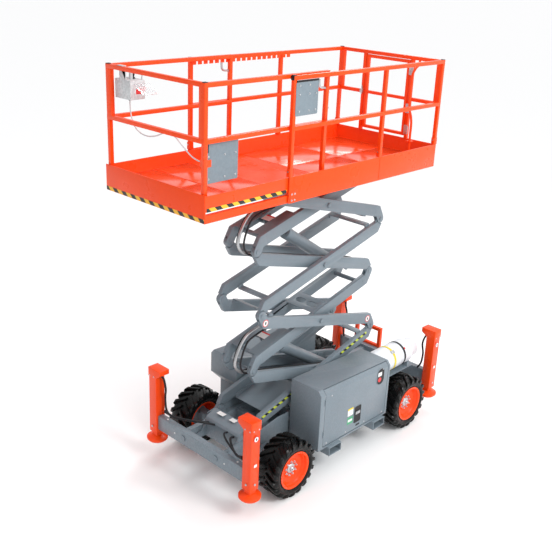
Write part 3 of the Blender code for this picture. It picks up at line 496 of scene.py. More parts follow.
# %% [markdown]
# ## Tyres
# A lift tyre for soft ground has tall slanted bars that meet in a V and fold down over the shoulder. The
# smooth carcass is a spun profile. One bar is a subdivided block that is bent onto the carcass by moving
# its points, and then it is copied round the wheel, half a step out on the other side.

# %% Tyre carcass and bars
WHEEL_RADIUS = (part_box("front_left_tyre")[1].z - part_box("front_left_tyre")[0].z) / 2
BARS, BAR_RISE, HALF_WIDTH = 19, 0.024, 0.149


def tyre_carcass():
    deep = WHEEL_RADIUS - BAR_RISE
    half = [(0.201, 0.118), (0.214, 0.134), (0.222, 0.138), (0.228, 0.1365), (0.245, 0.1465),
            (0.262, 0.1495), (0.278, 0.1455), (0.290, 0.134), (0.299, 0.114), (0.304, 0.080), (deep, 0.040),
            (deep + 0.001, 0.0)]
    profile = half + [(radius, -place) for radius, place in reversed(half[:-1])]
    return lathe(profile + [profile[0]], 72)


def tread_bar(side):
    """One slanted bar: across runs from the middle of the tread out over the shoulder."""
    shape = bmesh.new()
    bmesh.ops.create_cube(shape, size=1.0)
    long_edges = [edge for edge in shape.edges if abs((edge.verts[0].co - edge.verts[1].co).y) > 0.5]
    bmesh.ops.subdivide_edges(shape, edges=long_edges, cuts=6, use_grid_fill=True)
    for point in shape.verts:
        across, thick, rise = point.co.y + 0.5, point.co.x, point.co.z + 0.5
        shoulder = max(0.0, across - 0.72) / 0.28
        place = (0.004 + 0.140 * min(across, 0.80) / 0.80 + 0.006 * shoulder) * side
        top = WHEEL_RADIUS - 0.002 * across - 0.046 * shoulder ** 1.6
        radius = top - (1 - rise) * (BAR_RISE + 0.012 + 0.020 * shoulder)
        half_bar = (0.030 + 0.016 * across) * (1.0 if rise > 0.5 else 1.35)
        angle = (thick * half_bar + 0.125 * across ** 0.9) / WHEEL_RADIUS
        if rise < 0.5:
            place -= 0.010 * shoulder * side
        point.co = Vector((radius * math.sin(angle), place, radius * math.cos(angle)))
    bmesh.ops.recalc_face_normals(shape, faces=shape.faces)
    return round_edges(shape, 0.0035, 2, 40)


def make_tyre(end, side_name):
    centre = PIVOT[f"{end}_{side_name}_wheel_spin"]
    tyre = tyre_carcass()
    for face in (1, -1):
        for number in range(BARS):
            step = number + (0.5 if face < 0 else 0.0)
            join(tyre, tread_bar(face), at=Matrix.Rotation(math.tau * step / BARS, 4, "Y"))
    start = Matrix.Rotation(0.4 * dice.random(), 4, "Y")
    bmesh.ops.transform(tyre, matrix=Matrix.Translation(centre) @ start, verts=tyre.verts)
    name = f"{end}_{side_name}"
    return show(tyre, name + "_treaded_tyre", name + "_wheel", tyre_rubber, "tyre_rubber", 35,
                (name + "_tyre",))


for end in ENDS:
    for _, side_name in SIDES:
        tyre = make_tyre(end, side_name)
print("tyre with", BARS, "bars a side,", len(tyre.data.polygons), "faces")

# %% [markdown]
# ## Wheels
# The rim is a deep dish: a rolled lip, a drum, and a disc pressed in steps around the hub. The silver hub
# is the drive motor's flange, with a ring of nuts on studs.

# %% Rims, hubs and nuts
def hex_nut(size, height):
    """A nut or bolt head with a washer under it, standing on Z = 0."""
    washer = disc(size * 1.35, height * 0.25, 14)
    head = disc(size, height, 6, size * 0.12)
    return join(washer, head)


def make_rim(end, side_name, side):
    centre = PIVOT[f"{end}_{side_name}_wheel_spin"]
    place = Matrix.Translation(centre) @ Matrix.Diagonal((1, side, 1, 1))
    profile = [(0.062, 0.060), (0.062, 0.077), (0.088, 0.078), (0.096, 0.074), (0.108, 0.068),
               (0.140, 0.071), (0.160, 0.080), (0.170, 0.094), (0.176, 0.108), (0.181, 0.112),
               (0.186, 0.126), (0.193, 0.1385), (0.205, 0.1415), (0.213, 0.1445), (0.2165, 0.1415),
               (0.2150, 0.137), (0.1995, 0.1215), (0.1990, -0.119), (0.186, -0.119), (0.184, 0.058),
               (0.150, 0.058)]
    name = f"{end}_{side_name}"
    rim = placed(lathe(profile + [profile[0]], 72), at=place)
    show(rim, name + "_dished_rim", name + "_wheel", orange_enamel, "orange_paint", 30, (name + "_rim",))
    flange = [(0.0, 0.060), (0.0, 0.108), (0.022, 0.108), (0.026, 0.104), (0.030, 0.092), (0.050, 0.090),
              (0.056, 0.086), (0.060, 0.079), (0.0615, 0.062)]
    hub = placed(lathe(flange, 40), at=place)
    for number in range(9):
        angle = math.tau * number / 9
        spot = Vector((0.079 * math.sin(angle), 0.0775, 0.079 * math.cos(angle)))
        join(hub, hex_nut(0.0095, 0.014), disc(0.005, 0.022, 8, 0.001),
             at=place @ facing(spot, (0, 1, 0.001)))
    join(hub, hex_nut(0.011, 0.012), at=place @ facing((0, 0.107, 0), (0, 1, 0.001)))
    show(hub, name + "_hub", name + "_wheel", zinc)
    valve = placed(disc(0.005, 0.030, 10, 0.001), at=place @ facing((0.150, 0.074, 0.05), (0.25, 1, 0)))
    show(valve, name + "_valve", name + "_wheel", black_plastic)


for end in ENDS:
    for side, side_name in SIDES:
        make_rim(end, side_name, side)
print("four rims with hubs")

# %% [markdown]
# ## Arms in their own frame
# Each scissor arm is straight, so everything on it is easiest to place along the arm: x from its middle
# towards the front, z square to it. The pins say where the middle is and how steeply the arm rises.

# %% Where each arm is
PIN_DROP, TUBE_HIGH, TUBE_WIDE = 0.08, 0.127, 0.05
PINS = [PIVOT[f"outer_arm_{number}_hinge"] for number in range(1, 5)] + [PIVOT["platform_hinge"]]
PIN_TO_PIN = (PINS[1] - PINS[0]).length
PIN_ANGLE = math.atan2(abs(PINS[1].z - PINS[0].z), abs(PINS[1].x - PINS[0].x))
TUBE_ANGLE = PIN_ANGLE - math.asin(2 * PIN_DROP / PIN_TO_PIN)
HALF_REACH = math.sqrt(PIN_TO_PIN ** 2 / 4 - PIN_DROP ** 2)
OUTER_FACE, INNER_FACE = 0.322, 0.227


def rises_forward(kind, number):
    return (kind == "outer") == (number % 2 == 0)


def along_arm(kind, number):
    """The placing matrix of an arm's middle, with X along its tube towards the front."""
    angle = TUBE_ANGLE if rises_forward(kind, number) else -TUBE_ANGLE
    return Matrix.Translation(PIVOT[f"inner_arm_{number}_hinge"]) @ Matrix.Rotation(-angle, 4, "Y")


print("tubes rise at", round(math.degrees(TUBE_ANGLE), 2), "degrees, pins", round(PIN_TO_PIN, 3), "m apart")

# %% [markdown]
# ## Pins on the arms
# Seen from outside, each joint shows a round pin end with a chamfer, and a grease nipple in its middle.
# A low wide disc and a narrow tall one make it, painted with the arm as on the real machine.

# %% Pin ends
def make_pin_ends():
    for number in (2, 4):
        for x, z in ((-HALF_REACH, -PIN_DROP), (HALF_REACH, PIN_DROP)):
            shape = bmesh.new()
            for side in (1, -1):
                spot = along_arm("outer", number) @ Vector((x, side * (OUTER_FACE + 0.0065), z))
                join(shape, disc(0.021, 0.004, 24, 0.0015), disc(0.0045, 0.009, 8, 0.001),
                     at=facing(spot, (0, side, 0)))
            show(shape, f"outer_arm_{number}_pin_ends_{'low' if z < 0 else 'high'}", f"outer_arm_{number}",
                 grey_enamel)
    for number in range(1, 5):
        shape = bmesh.new()
        for side in (1, -1):
            spot = along_arm("inner", number) @ Vector((0, side * (OUTER_FACE + 0.012), 0))
            join(shape, disc(0.021, 0.003, 24, 0.001), disc(0.0045, 0.008, 8, 0.001),
                 at=facing(spot, (0, side, 0)))
        show(shape, f"middle_pin_ends_{number}", f"inner_arm_{number}", grey_enamel)


make_pin_ends()
print("pins finished")

# %% [markdown]
# ## Tape, stickers and labels on the arms
# The lowest outer arm carries lime and black tape towards both ends, where hands could be trapped. The
# next arm carries a round sticker at each end. All are thin film laid a fraction of a millimetre proud.

# %% Arm tape and stickers
def patch(wide, high, corner=0.004, thick=0.0008):
    return outline_plate(soft_corners(wide, high, corner, 3), thick, 0)


def arm_patch(kind, number, x, z, side, wide, high, corner=0.004):
    face = OUTER_FACE if kind == "outer" else INNER_FACE
    place = along_arm(kind, number) @ facing((x, side * (face + 0.0004), z), (0, side, 0))
    return placed(patch(wide, high, corner), at=place)


tilt = TUBE_ANGLE if rises_forward("outer", 1) else -TUBE_ANGLE
slant = (math.cos(tilt) - 0.8 * -math.sin(tilt), 0.0, math.sin(tilt) - 0.8 * math.cos(tilt))
arm_tape = striped("arm tape", slant, 0.090, LIME)
for side, side_name in SIDES:
    for x, where in ((0.68, "front"), (-0.66, "rear")):
        tape = arm_patch("outer", 1, x, 0.022, side, 0.50, 0.030, 0.001)
        show(tape, f"outer_arm_1_{where}_tape_{side_name}", "outer_arm_1", arm_tape, "grey_paint")
    for x in (0.93, -0.90):
        ring = arm_patch("outer", 2, x, 0.0, side, 0.082, 0.082, 0.0405)
        place = along_arm("outer", 2) @ facing((x, side * (OUTER_FACE + 0.0013), 0), (0, side, 0))
        where = ("front" if x > 0 else "rear") + "_" + side_name
        show(ring, "round_sticker_" + where, "outer_arm_2", red_film, "grey_paint")
        face = placed(patch(0.066, 0.066, 0.0325), at=place)
        show(face, "round_sticker_face_" + where, "outer_arm_2", white_film, "grey_paint")
        mark = placed(patch(0.018, 0.030, 0.006), at=Matrix.Translation((0, side * 0.0009, 0)) @ place)
        show(mark, "round_sticker_mark_" + where, "outer_arm_2", black_plastic, "grey_paint")
print("arm tape and four round stickers")

# %% [markdown]
# ## Hoses
# Hydraulic hoses lie along the arms in bundles and swing in a loop past each joint. A hose is a smooth
# line with a round section. The ribbed sleeve round a bundle is the same line with a radius that goes up
# and down at each point. A loop is turned into a mesh, which keeps its place and rides on no body.

# %% Hoses and sleeves
def smooth_line(knots, spacing):
    """Evenly spaced points on a curve that passes through every knot."""
    knots = [Vector(knot) for knot in knots]
    padded = [2 * knots[0] - knots[1], *knots, 2 * knots[-1] - knots[-2]]
    fine = []
    for a, b, c, d in zip(padded, padded[1:], padded[2:], padded[3:]):
        for step in range(24):
            t = step / 24
            fine.append(0.5 * (2 * b + (c - a) * t + (2 * a - 5 * b + 4 * c - d) * t ** 2
                               + (3 * b - a - 3 * c + d) * t ** 3))
    fine.append(knots[-1])
    line, gone = [fine[0]], 0.0
    for before, after in zip(fine, fine[1:]):
        gone += (after - before).length
        if gone >= spacing:
            line.append(after)
            gone = 0.0
    return line


def hose(name, knots, radius, body, finish, ribbed=False):
    line = smooth_line(knots, 0.006 if ribbed else 0.02)
    curve = bpy.data.curves.new(name, "CURVE")
    curve.dimensions = "3D"
    curve.bevel_depth, curve.bevel_resolution, curve.use_fill_caps = radius, 3, True
    spline = curve.splines.new("POLY")
    spline.points.add(len(line) - 1)
    for number, (point, spot) in enumerate(zip(spline.points, line)):
        point.co = (*spot, 1.0)
        point.radius = 0.86 if ribbed and number % 2 else 1.0
    spline.use_smooth = True
    curve.materials.append(finish)
    piece = bpy.data.objects.new(name, curve)
    bpy.context.scene.collection.objects.link(piece)
    if body:
        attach(piece, body)
    return piece


def arm_hose(name, kind, number, knots, radius, finish, ribbed=False):
    place = along_arm(kind, number)
    return hose(name, [place @ Vector(knot) for knot in knots], radius, f"{kind}_arm_{number}", finish,
                ribbed=ribbed)


TOP = TUBE_HIGH / 2
for number in (1, 3):
    for y, radius, finish, ribbed in ((0.196, 0.013, braid, True), (0.160, 0.011, hose_rubber, False),
                                      (0.136, 0.009, hose_rubber, False)):
        arm_hose(f"inner_arm_{number}_hose_{round(y * 1000)}", "inner", number,
                 [(x, y, TOP - drop) for x, drop in (
                     (-0.80, 0.045), (-0.66, radius), (-0.30, radius + 0.002), (0.10, radius + 0.002),
                     (0.50, radius + 0.002), (0.80, radius + 0.004), (0.92, 0.030))], radius, finish, ribbed)
print("hoses laid along inner arms 1 and 3")

# %% Loops past the front joints
def bend_between(piece):
    """A hose turned into a mesh, with its place baked in. It rides on no body."""
    graph = bpy.context.evaluated_depsgraph_get()
    mesh = bpy.data.meshes.new_from_object(piece.evaluated_get(graph))
    name = piece.name
    bpy.data.objects.remove(piece)
    bent = bpy.data.objects.new(name, mesh)
    bpy.context.scene.collection.objects.link(bent)
    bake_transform(bent)


FRONT_X = PINS[0].x
LOOPS = ((0.110, 0.017, 0.0, braid, True), (0.070, 0.012, 0.025, hose_rubber, False),
         (0.145, 0.010, 0.045, hose_rubber, False))
for number in (2, 4):
    low = PINS[number - 1].z
    for y, radius, pull, finish, ribbed in LOOPS:
        knots = [(-0.30, 0.44 - pull), (-0.17, 0.43 - pull), (0.00, 0.38 - pull), (0.12 - pull, 0.24),
                 (0.165 - pull, 0.09), (0.10 - pull / 2, -0.015), (-0.01, -0.055), (-0.12, -0.060)]
        spots = [(FRONT_X + ahead, y, low + up) for ahead, up in knots]
        loop = hose(f"joint_loop_{number}_{round(y * 1000)}", spots, radius, None, finish, ribbed=ribbed)
        bend_between(loop)
print("loops at the front joints")

# %% [markdown]
# ## The platform's tape, plates and caps
# The roll-out deck warns with yellow and black tape along its front and along its toe board. Grey guard
# plates close the corners where rails pass each other, and black caps plug the open tube ends.

# %% Platform tape
FILM_LIFT = 0.0004
_, rail_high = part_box("extension_rail")
side_low, side_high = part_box("left_rail")
deck_low, deck_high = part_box("platform_deck")
out_low, out_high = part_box("extension_deck")
tape = placed(patch(out_high.y * 2 - 0.012, 0.036, 0.001),
              at=facing((out_high.x + FILM_LIFT, 0, out_low.z + 0.022), (1, 0, 0)))
show(tape, "front_tape", "extension", front_tape, "orange_paint")
TAPE_Z = out_low.z + 0.118
tape_start, tape_end = deck_high.x + 0.02, out_high.x - 0.02
for side, side_name in SIDES:
    middle = ((tape_start + tape_end) / 2, side * (out_high.y + FILM_LIFT), TAPE_Z)
    tape = placed(patch(tape_end - tape_start, 0.034, 0.001), at=facing(middle, (0, side, 0)))
    show(tape, f"{side_name}_toe_tape", "extension", side_tape, "orange_paint")
print("tape at the front and", round(TAPE_Z, 3), "m up both toe boards")

# %% Guard plates with bolts
def bolted_plate(wide, high, bolts):
    """A plate on Z = 0, and a bolt at each spot on it as a shape of its own."""
    plate = outline_plate(soft_corners(wide, high, 0.012), 0.004, 0.0008)
    heads = bmesh.new()
    for x, y in bolts:
        join(heads, hex_nut(0.0075, 0.006), at=Matrix.Translation((x, y, 0.004)))
    return plate, heads


def guard(name, body, wide, high, middle):
    """A grey plate with eight bolts that faces the machine's left."""
    columns = (-wide / 2 + 0.05, 0.10 * wide, wide / 2 - 0.03)
    rows = (-high / 2 + 0.04, 0.04, high / 2 - 0.03)
    plate, heads = bolted_plate(wide, high, [(x, y) for x in columns for y in rows][:8])
    place = facing(middle, (0, 1, 0))
    show(placed(plate, at=place), name, body, grey_enamel)
    show(placed(heads, at=place), name + "_bolts", body, zinc)


def edge_strip(name, body, corner, low, high, edge):
    """A black plastic strip between two offsets from a rail's upper front corner."""
    shape = slab(corner + Vector(low), corner + Vector(high), edge)
    show(shape, name, body, black_plastic)


guard("corner_guard", "extension", 0.39, 0.385, rail_high + Vector((-0.232, -0.046, -0.659)))
guard("seam_guard", "platform", 0.30, 0.30, side_high + Vector((-0.175, 0.0005, -0.209)))
edge_strip("seam_guard_strip", "platform", side_high,
           (-0.325, 0.0006, -0.058), (-0.030, 0.008, -0.040), 0.002)
edge_strip("corner_guard_strip", "extension", rail_high,
           (-0.082, -0.041, -0.584), (-0.060, -0.036, -0.484), 0.001)
print("two guard plates")

# %% Black caps and the comb bar
HALF_POST = 0.019


def tube_cap(point, normal):
    """A square black plug over a tube's end."""
    cap = outline_plate(soft_corners(0.0385, 0.0385, 0.004), 0.006, 0.0012)
    return placed(cap, at=facing(point, normal, (0, 0, 1) if abs(normal[2]) < 0.5 else (1, 0, 0)))


caps = bmesh.new()
for side in (1, -1):
    post_y = side * (side_high.y - HALF_POST)
    for x in (side_low.x + HALF_POST, side_high.x - HALF_POST):
        join(caps, tube_cap((x, post_y, side_high.z), (0, 0, 1)))
    join(caps, tube_cap((side_high.x, post_y, side_high.z - HALF_POST), (1, 0, 0)))
show(caps, "rail_caps", "platform", black_plastic)
caps = bmesh.new()
for side in (1, -1):
    join(caps, tube_cap((rail_high.x - HALF_POST, side * (rail_high.y - HALF_POST), rail_high.z), (0, 0, 1)))
show(caps, "extension_rail_caps", "extension", black_plastic)

TOOTH, NOTCH, COMB_LONG = 0.052, 0.024, 1.42
comb, x = [(0.0, 0.0)], 0.0
while x < COMB_LONG:
    comb += [(x, -0.062), (x + TOOTH, -0.062), (x + TOOTH, -0.030), (x + TOOTH + NOTCH, -0.030)]
    x += TOOTH + NOTCH
comb += [(x, -0.030), (x, 0.0)]
place = facing((side_high.x - 0.02, -(side_high.y - 0.040), side_high.z - 0.006), (0, 1, 0))
show(placed(outline_plate(comb, 0.005, 0.0006), at=place), "stop_comb", "platform", orange_enamel)
print("caps and a comb bar", round(x, 2), "m long")

# %% [markdown]
# ## Handles, latches and the gate's hardware
# Two bent steel handles lock the roll-out deck where its rails meet the main rails. The gate turns on
# three plated hinges, is held by a latch, and has a grab handle beside it for climbing in. Bent tube is
# made as the hoses are, because both are one round section on one smooth line.

# %% Locking handles
def locking_handle(name, x, side):
    """A bent tube that hangs inside the rail, with a black grip at its lower end."""
    y, top = side * (side_high.y - 0.062), side_high.z
    bends = [(0, 0.424), (0, 0.334), (0, 0.234), (0.004, 0.179), (0.030, 0.149), (0.085, 0.144),
             (0.115, 0.129), (0.122, 0.094), (0.122, 0.059)]
    hose(name, [(x + ahead, y, top - drop) for ahead, drop in bends], 0.012, "platform", zinc)
    grip = placed(disc(0.017, 0.055, 20, 0.003), at=Matrix.Translation((x, y, top - 0.459)))
    show(grip, name + "_grip", "platform", black_plastic)
    clips = bmesh.new()
    for z in (top - 0.344, top - 0.199):
        join(clips, slab((x - 0.020, y - 0.016, z), (x + 0.020, y + 0.016, z + 0.016), 0.003))
    show(clips, name + "_clips", "platform", zinc)


locking_handle("near_locking_handle", side_high.x - 0.527, 1)
locking_handle("far_locking_handle", side_high.x - 0.519, -1)
print("two locking handles")

# %% Gate hinges, latch and grab handle
def hinge_plate():
    """A folded plate with a knuckle and four bolts, on Z = 0."""
    shape = outline_plate(soft_corners(0.050, 0.105, 0.010), 0.004, 0.0008)
    join(shape, bar((0.027, -0.045, 0.006), (0.027, 0.045, 0.006), 0.008, 16))
    for number in range(4):
        spot = (-0.012 if number % 2 else 0.008, -0.036 + 0.024 * number, 0.004)
        join(shape, hex_nut(0.0065, 0.006), at=Matrix.Translation(spot))
    return shape


gate_low, gate_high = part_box("gate")
hinges = bmesh.new()
for height in (0.071, 0.311, 0.731):
    for x, way in ((gate_high.x + 0.0005, 1), (gate_low.x - 0.0005, -1)):
        join(hinges, hinge_plate(), at=facing((x, gate_high.y + 0.022, gate_low.z + height), (way, 0, 0)))
show(hinges, "gate_hinge_plates", "platform", zinc)
latch_at = Matrix.Translation((gate_high.x, gate_low.y - 0.052, gate_low.z + 0.396))
latch = placed(slab((0.0005, 0, 0), (0.026, 0.040, 0.050), 0.004),
               bar((0.013, 0.022, -0.015), (0.013, 0.022, 0.085), 0.007), at=latch_at)
show(latch, "gate_latch", "platform", zinc)
grab_at = Vector((side_low.x + 0.115, 0.440, deck_high.z))
bends = [(0, 0, 0.081), (0, 0, 0.201), (0, -0.015, 0.281), (0, -0.040, 0.351), (0, -0.050, 0.461),
         (0, -0.050, 0.631), (0, -0.044, 0.731), (-0.030, -0.035, 0.791), (-0.080, -0.030, 0.831),
         (-0.096, -0.030, 0.879)]
hose("grab_handle", [grab_at + Vector(bend) for bend in bends], 0.014, "platform",
     orange_enamel)
foot = placed(outline_plate(soft_corners(0.070, 0.070, 0.012), 0.004, 0.0008),
              at=facing(grab_at + Vector((0, 0, 0.0005)), (0, 0, 1), (1, 0, 0)))
stand = placed(bar((0, 0, -0.150), (0, 0, 0.091), 0.014), at=Matrix.Translation(grab_at))
show(join(foot, stand), "grab_handle_foot", "platform", orange_enamel)
print("gate hardware and a grab handle with", len(bends), "bends")

# %% [markdown]
# ## Rail feet, floor seams and a junction box
# Folding rails stand on pins through small ears. The floor is several plates, so it shows seams, and its
# paint is glossier than the rails. A small junction box sits by the gate.

# %% Rail feet and floor plates
def rail_foot(name, x, side):
    """Two ears with a pin and a safety clip at the foot of a post."""
    y, z = side * (side_high.y - HALF_POST), deck_high.z + 0.001
    shape = bmesh.new()
    for ear in (x - 0.0245, x + 0.0245):
        join(shape, slab((ear - 0.0025, y - 0.020, z), (ear + 0.0025, y + HALF_POST, z + 0.075), 0.001))
    show(shape, name, "platform", orange_enamel)
    pin = join(bar((x - 0.036, y, z + 0.050), (x + 0.036, y, z + 0.050), 0.007),
               bar((x - 0.036, y, z + 0.050), (x - 0.036, y - side * 0.010, z + 0.010), 0.0025, 6))
    show(pin, name + "_pin", "platform", zinc)


MIDDLE_POST = {"left": side_low.x + 1.020, "right": side_low.x + 1.070}
for side, side_name in SIDES:
    posts = (side_low.x + HALF_POST, MIDDLE_POST[side_name], side_high.x - HALF_POST)
    for number, x in enumerate(posts):
        rail_foot(f"{side_name}_rail_foot_{number}", x, side)


def floor_plates(name, body, z, lengths, widths):
    """Thin plates side by side, with a seam between each and the next."""
    plates = bmesh.new()
    for x0, x1 in lengths:
        for y0, y1 in widths:
            join(plates, slab((x0, y0, z + 0.0004), (x1, y1, z + 0.0030), 0.0012))
    show(plates, name, body, floor_gloss, "orange_paint")


FLOOR_Z = next(mount["pos_m"][2] for mount in frame["record"]["mounts"] if mount["name"] == "main_deck_floor")
floor_plates("deck_floor_plates", "platform", FLOOR_Z,
             ((deck_low.x + 0.033, deck_low.x + 0.833), (deck_low.x + 0.853, deck_low.x + 1.653)),
             ((0.02, 0.66), (-0.66, 0.0)))
floor_plates("extension_floor_plates", "extension", FLOOR_Z + 0.016,
             ((deck_high.x + 0.008, deck_high.x + 0.463), (deck_high.x + 0.483, out_high.x - 0.03)),
             ((0.01, 0.68), (-0.68, -0.01)))
print("rail feet, and plates on a floor at", round(FLOOR_Z, 3))

# %% Junction box, seam bracket and deck bolts
case = join(slab((0, 0, 0), (0.130, 0.110, 0.0565), 0.006, 3),
            slab((0.005, 0.005, 0.0566), (0.125, 0.105, 0.0645), 0.002))
for x in (0.015, 0.115):
    for y in (0.015, 0.095):
        join(case, hex_nut(0.005, 0.004), at=Matrix.Translation((x, y, 0.0645)))
case = placed(case, at=Matrix.Translation((deck_low.x + 0.053, 0.500, FLOOR_Z + 0.0035)))
show(case, "junction_box", "platform", box_enamel, "box_grey")
for side, side_name in SIDES:
    plate, heads = bolted_plate(0.080, 0.110, [(-0.02, 0.03), (0.02, 0.03), (-0.02, -0.03), (0.02, -0.03)])
    place = facing((deck_high.x - 0.055, side * (deck_high.y + FILM_LIFT), deck_high.z - 0.194), (0, side, 0))
    show(placed(plate, at=place), side_name + "_seam_bracket", "platform", orange_enamel)
    show(placed(heads, at=place), side_name + "_seam_bracket_bolts", "platform", zinc)
    trim = bmesh.new()
    for ahead in (0.153, 0.503, 1.023, 1.553, 1.953):
        spot = (deck_low.x + ahead, side * deck_high.y, deck_high.z - 0.034)
        join(trim, hex_nut(0.007, 0.005), at=facing(spot, (0, side, 0)))
    inner, outer = sorted((side * (deck_high.y + FILM_LIFT), side * (deck_high.y + 0.0024)))
    join(trim, slab((deck_low.x + 1.016, inner, deck_high.z - 0.244),
                    (deck_low.x + 1.024, outer, deck_high.z - 0.004), 0.0005))
    show(trim, side_name + "_deck_bolts", "platform", orange_enamel)
print("junction box, brackets and bolts")

# %% [markdown]
# ## The front bay and the frame
# Between the front beam and the hump lie the steering hoses. Labels sit on the hump, plugs in the beam,
# and a round-cornered pad on the beam's face marks each tie-down point.

# %% Front bay hoses, labels and plugs
_, frame_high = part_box("chassis_frame")
BAY_HOSES = (
    ("low", 0.013, [(0.325, 0.20, 0.105), (0.255, 0.22, 0.080), (0.185, 0.30, 0.075), (0.115, 0.42, 0.080),
                    (0.065, 0.52, 0.065), (0.040, 0.62, 0.025)]),
    ("high", 0.011, [(0.325, 0.10, 0.090), (0.235, 0.14, 0.050), (0.165, 0.24, 0.045), (0.105, 0.40, 0.060),
                     (0.060, 0.54, 0.060), (0.035, 0.63, 0.040)]),
)
FACE_Z = frame_high.z - 0.195
for side, side_name in SIDES:
    for level, radius, knots in BAY_HOSES:
        hose(f"{side_name}_bay_hose_{level}",
             [(frame_high.x - back, side * y, frame_high.z - drop) for back, y, drop in knots],
             radius, "chassis", hose_rubber)
    top_spot = (frame_high.x - 0.035, side * 0.56, frame_high.z - 0.110)
    plugs = placed(disc(0.011, 0.004, 20, 0.001), at=Matrix.Translation(top_spot))
    join(plugs, disc(0.009, 0.004, 20, 0.001), at=facing((frame_high.x, side * 0.40, FACE_Z), (1, 0, 0)))
    show(plugs, side_name + "_beam_plugs", "chassis", white_film, "rod_chrome")
    pad = placed(outline_plate(soft_corners(0.070, 0.060, 0.028, 6), 0.010, 0.001),
                 at=facing((frame_high.x - 0.0005, side * 0.26, FACE_Z), (1, 0, 0)))
    show(pad, side_name + "_tie_down_pad", "chassis", grey_enamel)
for name, y, wide in (("left", 0.075, 0.085), ("right", -0.115, 0.105)):
    spot = (frame_high.x - 0.430, y, frame_high.z + 0.0012)
    label = placed(patch(wide, 0.060), at=facing(spot, (0, 0, 1), (1, 0, 0)))
    show(label, f"hump_label_{name}", "chassis", white_film)
print("front bay finished")

# %% Labels on the lower inner arms
for number in (2, 4):
    for name, x, deep, finish in (("white", 0.62, 0.075, white_film), ("red", 0.572, 0.022, red_film)):
        place = along_arm("inner", number) @ Matrix.Translation((x, 0.02, TUBE_HIGH / 2))
        label = placed(patch(0.115, deep), at=place @ Matrix.Rotation(math.radians(90), 4, "Z"))
        show(label, f"inner_arm_{number}_label_{name}", f"inner_arm_{number}", finish, "box_grey")
print("arm labels")

# %% [markdown]
# ## The gas bottle
# A fuel bottle is a rolled cylinder with two pressed domes, a foot ring and a collar round its valve. It is
# a body of revolution, so one spun profile makes it. A strap with a buckle holds it in its cradle.

# %% Gas bottle and strap
def make_gas_bottle():
    low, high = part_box("gas_bottle")
    middle_y, middle_z, radius = (low.y + high.y) / 2, (low.z + high.z) / 2, (high.z - low.z) / 2
    at = Matrix.Translation((low.x, middle_y, middle_z))
    long = high.x - low.x
    shell = [(0.0, 0.085), (0.060, 0.088), (0.105, 0.100), (0.136, 0.125), (0.148, 0.155), (radius, 0.175),
             (radius, 0.400), (radius + 0.001, 0.402), (radius + 0.001, 0.412), (radius, 0.414),
             (radius, long - 0.075), (0.146, long - 0.045), (0.130, long - 0.020), (0.100, long - 0.006),
             (0.055, long), (0.0, long)]
    show(placed(lathe(shell, 64, (1, 0, 0)), at=at), "gas_bottle_shell", "chassis", white_enamel,
         "bottle_white", 30, ("gas_bottle",))
    collar = [(0.118, 0.110), (0.118, 0.012), (0.114, 0.004), (0.108, 0.004), (0.104, 0.012), (0.104, 0.118),
              (0.118, 0.110)]
    parts = placed(lathe(collar, 48, (1, 0, 0)), at=at)
    show(parts, "gas_bottle_collar", "chassis", white_enamel)
    valve = placed(bar((0.095, 0, 0), (0.040, 0, 0), 0.016), bar((0.062, 0, 0), (0.062, 0.055, 0), 0.011),
                   bar((0.040, 0, 0), (0.018, 0, 0), 0.026, 8), at=at)
    show(valve, "gas_bottle_valve", "chassis", zinc)
    for name, start, wide, finish in (("strap", 0.50, 0.032, yellow_film),
                                      ("cradle_band", 0.30, 0.030, black_plastic)):
        band = [(radius + 0.0012, start), (radius + 0.0040, start), (radius + 0.0040, start + wide),
                (radius + 0.0012, start + wide), (radius + 0.0012, start)]
        show(placed(lathe(band, 64, (1, 0, 0)), at=at), "gas_bottle_" + name, "chassis", finish,
             "engine_black")
    buckle = slab((0.490, -0.020, radius + 0.003), (0.545, 0.020, radius + 0.012), 0.002)
    show(placed(buckle, at=at @ Matrix.Rotation(math.radians(-38), 4, "X")), "strap_buckle", "chassis",
         zinc)
    tag = placed(patch(0.045, 0.028), at=at @ facing((0.30, radius * 0.72, radius * 0.70), (0, 1, 1)))
    show(tag, "gas_bottle_tag", "chassis", red_film, "bottle_white")


make_gas_bottle()
print("gas bottle strapped in its cradle")

# %% [markdown]
# ## The side hoods
# Each hood is a folded box with a swing-out door. The door shows a hand hole with a latch, an upper gauge
# opening, screws along its top fold and labels beside the openings. An opening that leads into the bay is
# drawn as a recessed black pan with a folded rim: the black is painted shade for the dark inside, because
# nothing inside it can be seen.

# %% Hand holes, labels and screws
def shaded_recess(wide, high, corner, deep=0.003):
    """A black pan of painted shade for an opening's dark inside, with a raised, folded rim. Its back lies on
    Z = 0.
    """
    shade_pan = outline_plate(soft_corners(wide, high, corner, 6), 0.0012, 0)
    rim = bmesh.new()
    grown = soft_corners(wide + 0.010, high + 0.010, corner + 0.005, 6)
    ring = [rim.verts.new((x, y, 0.0)) for x, y in grown]
    edges = [rim.edges.new((one, other)) for one, other in zip(ring, ring[1:] + ring[:1])]
    inner = [rim.verts.new((x, y, 0.0)) for x, y in soft_corners(wide, high, corner, 6)]
    edges += [rim.edges.new((one, other)) for one, other in zip(inner, inner[1:] + inner[:1])]
    bmesh.ops.bridge_loops(rim, edges=edges)
    bmesh.ops.recalc_face_normals(rim, faces=rim.faces)
    bmesh.ops.solidify(rim, geom=rim.faces[:], thickness=-deep)
    bmesh.ops.recalc_face_normals(rim, faces=rim.faces)
    return shade_pan, rim


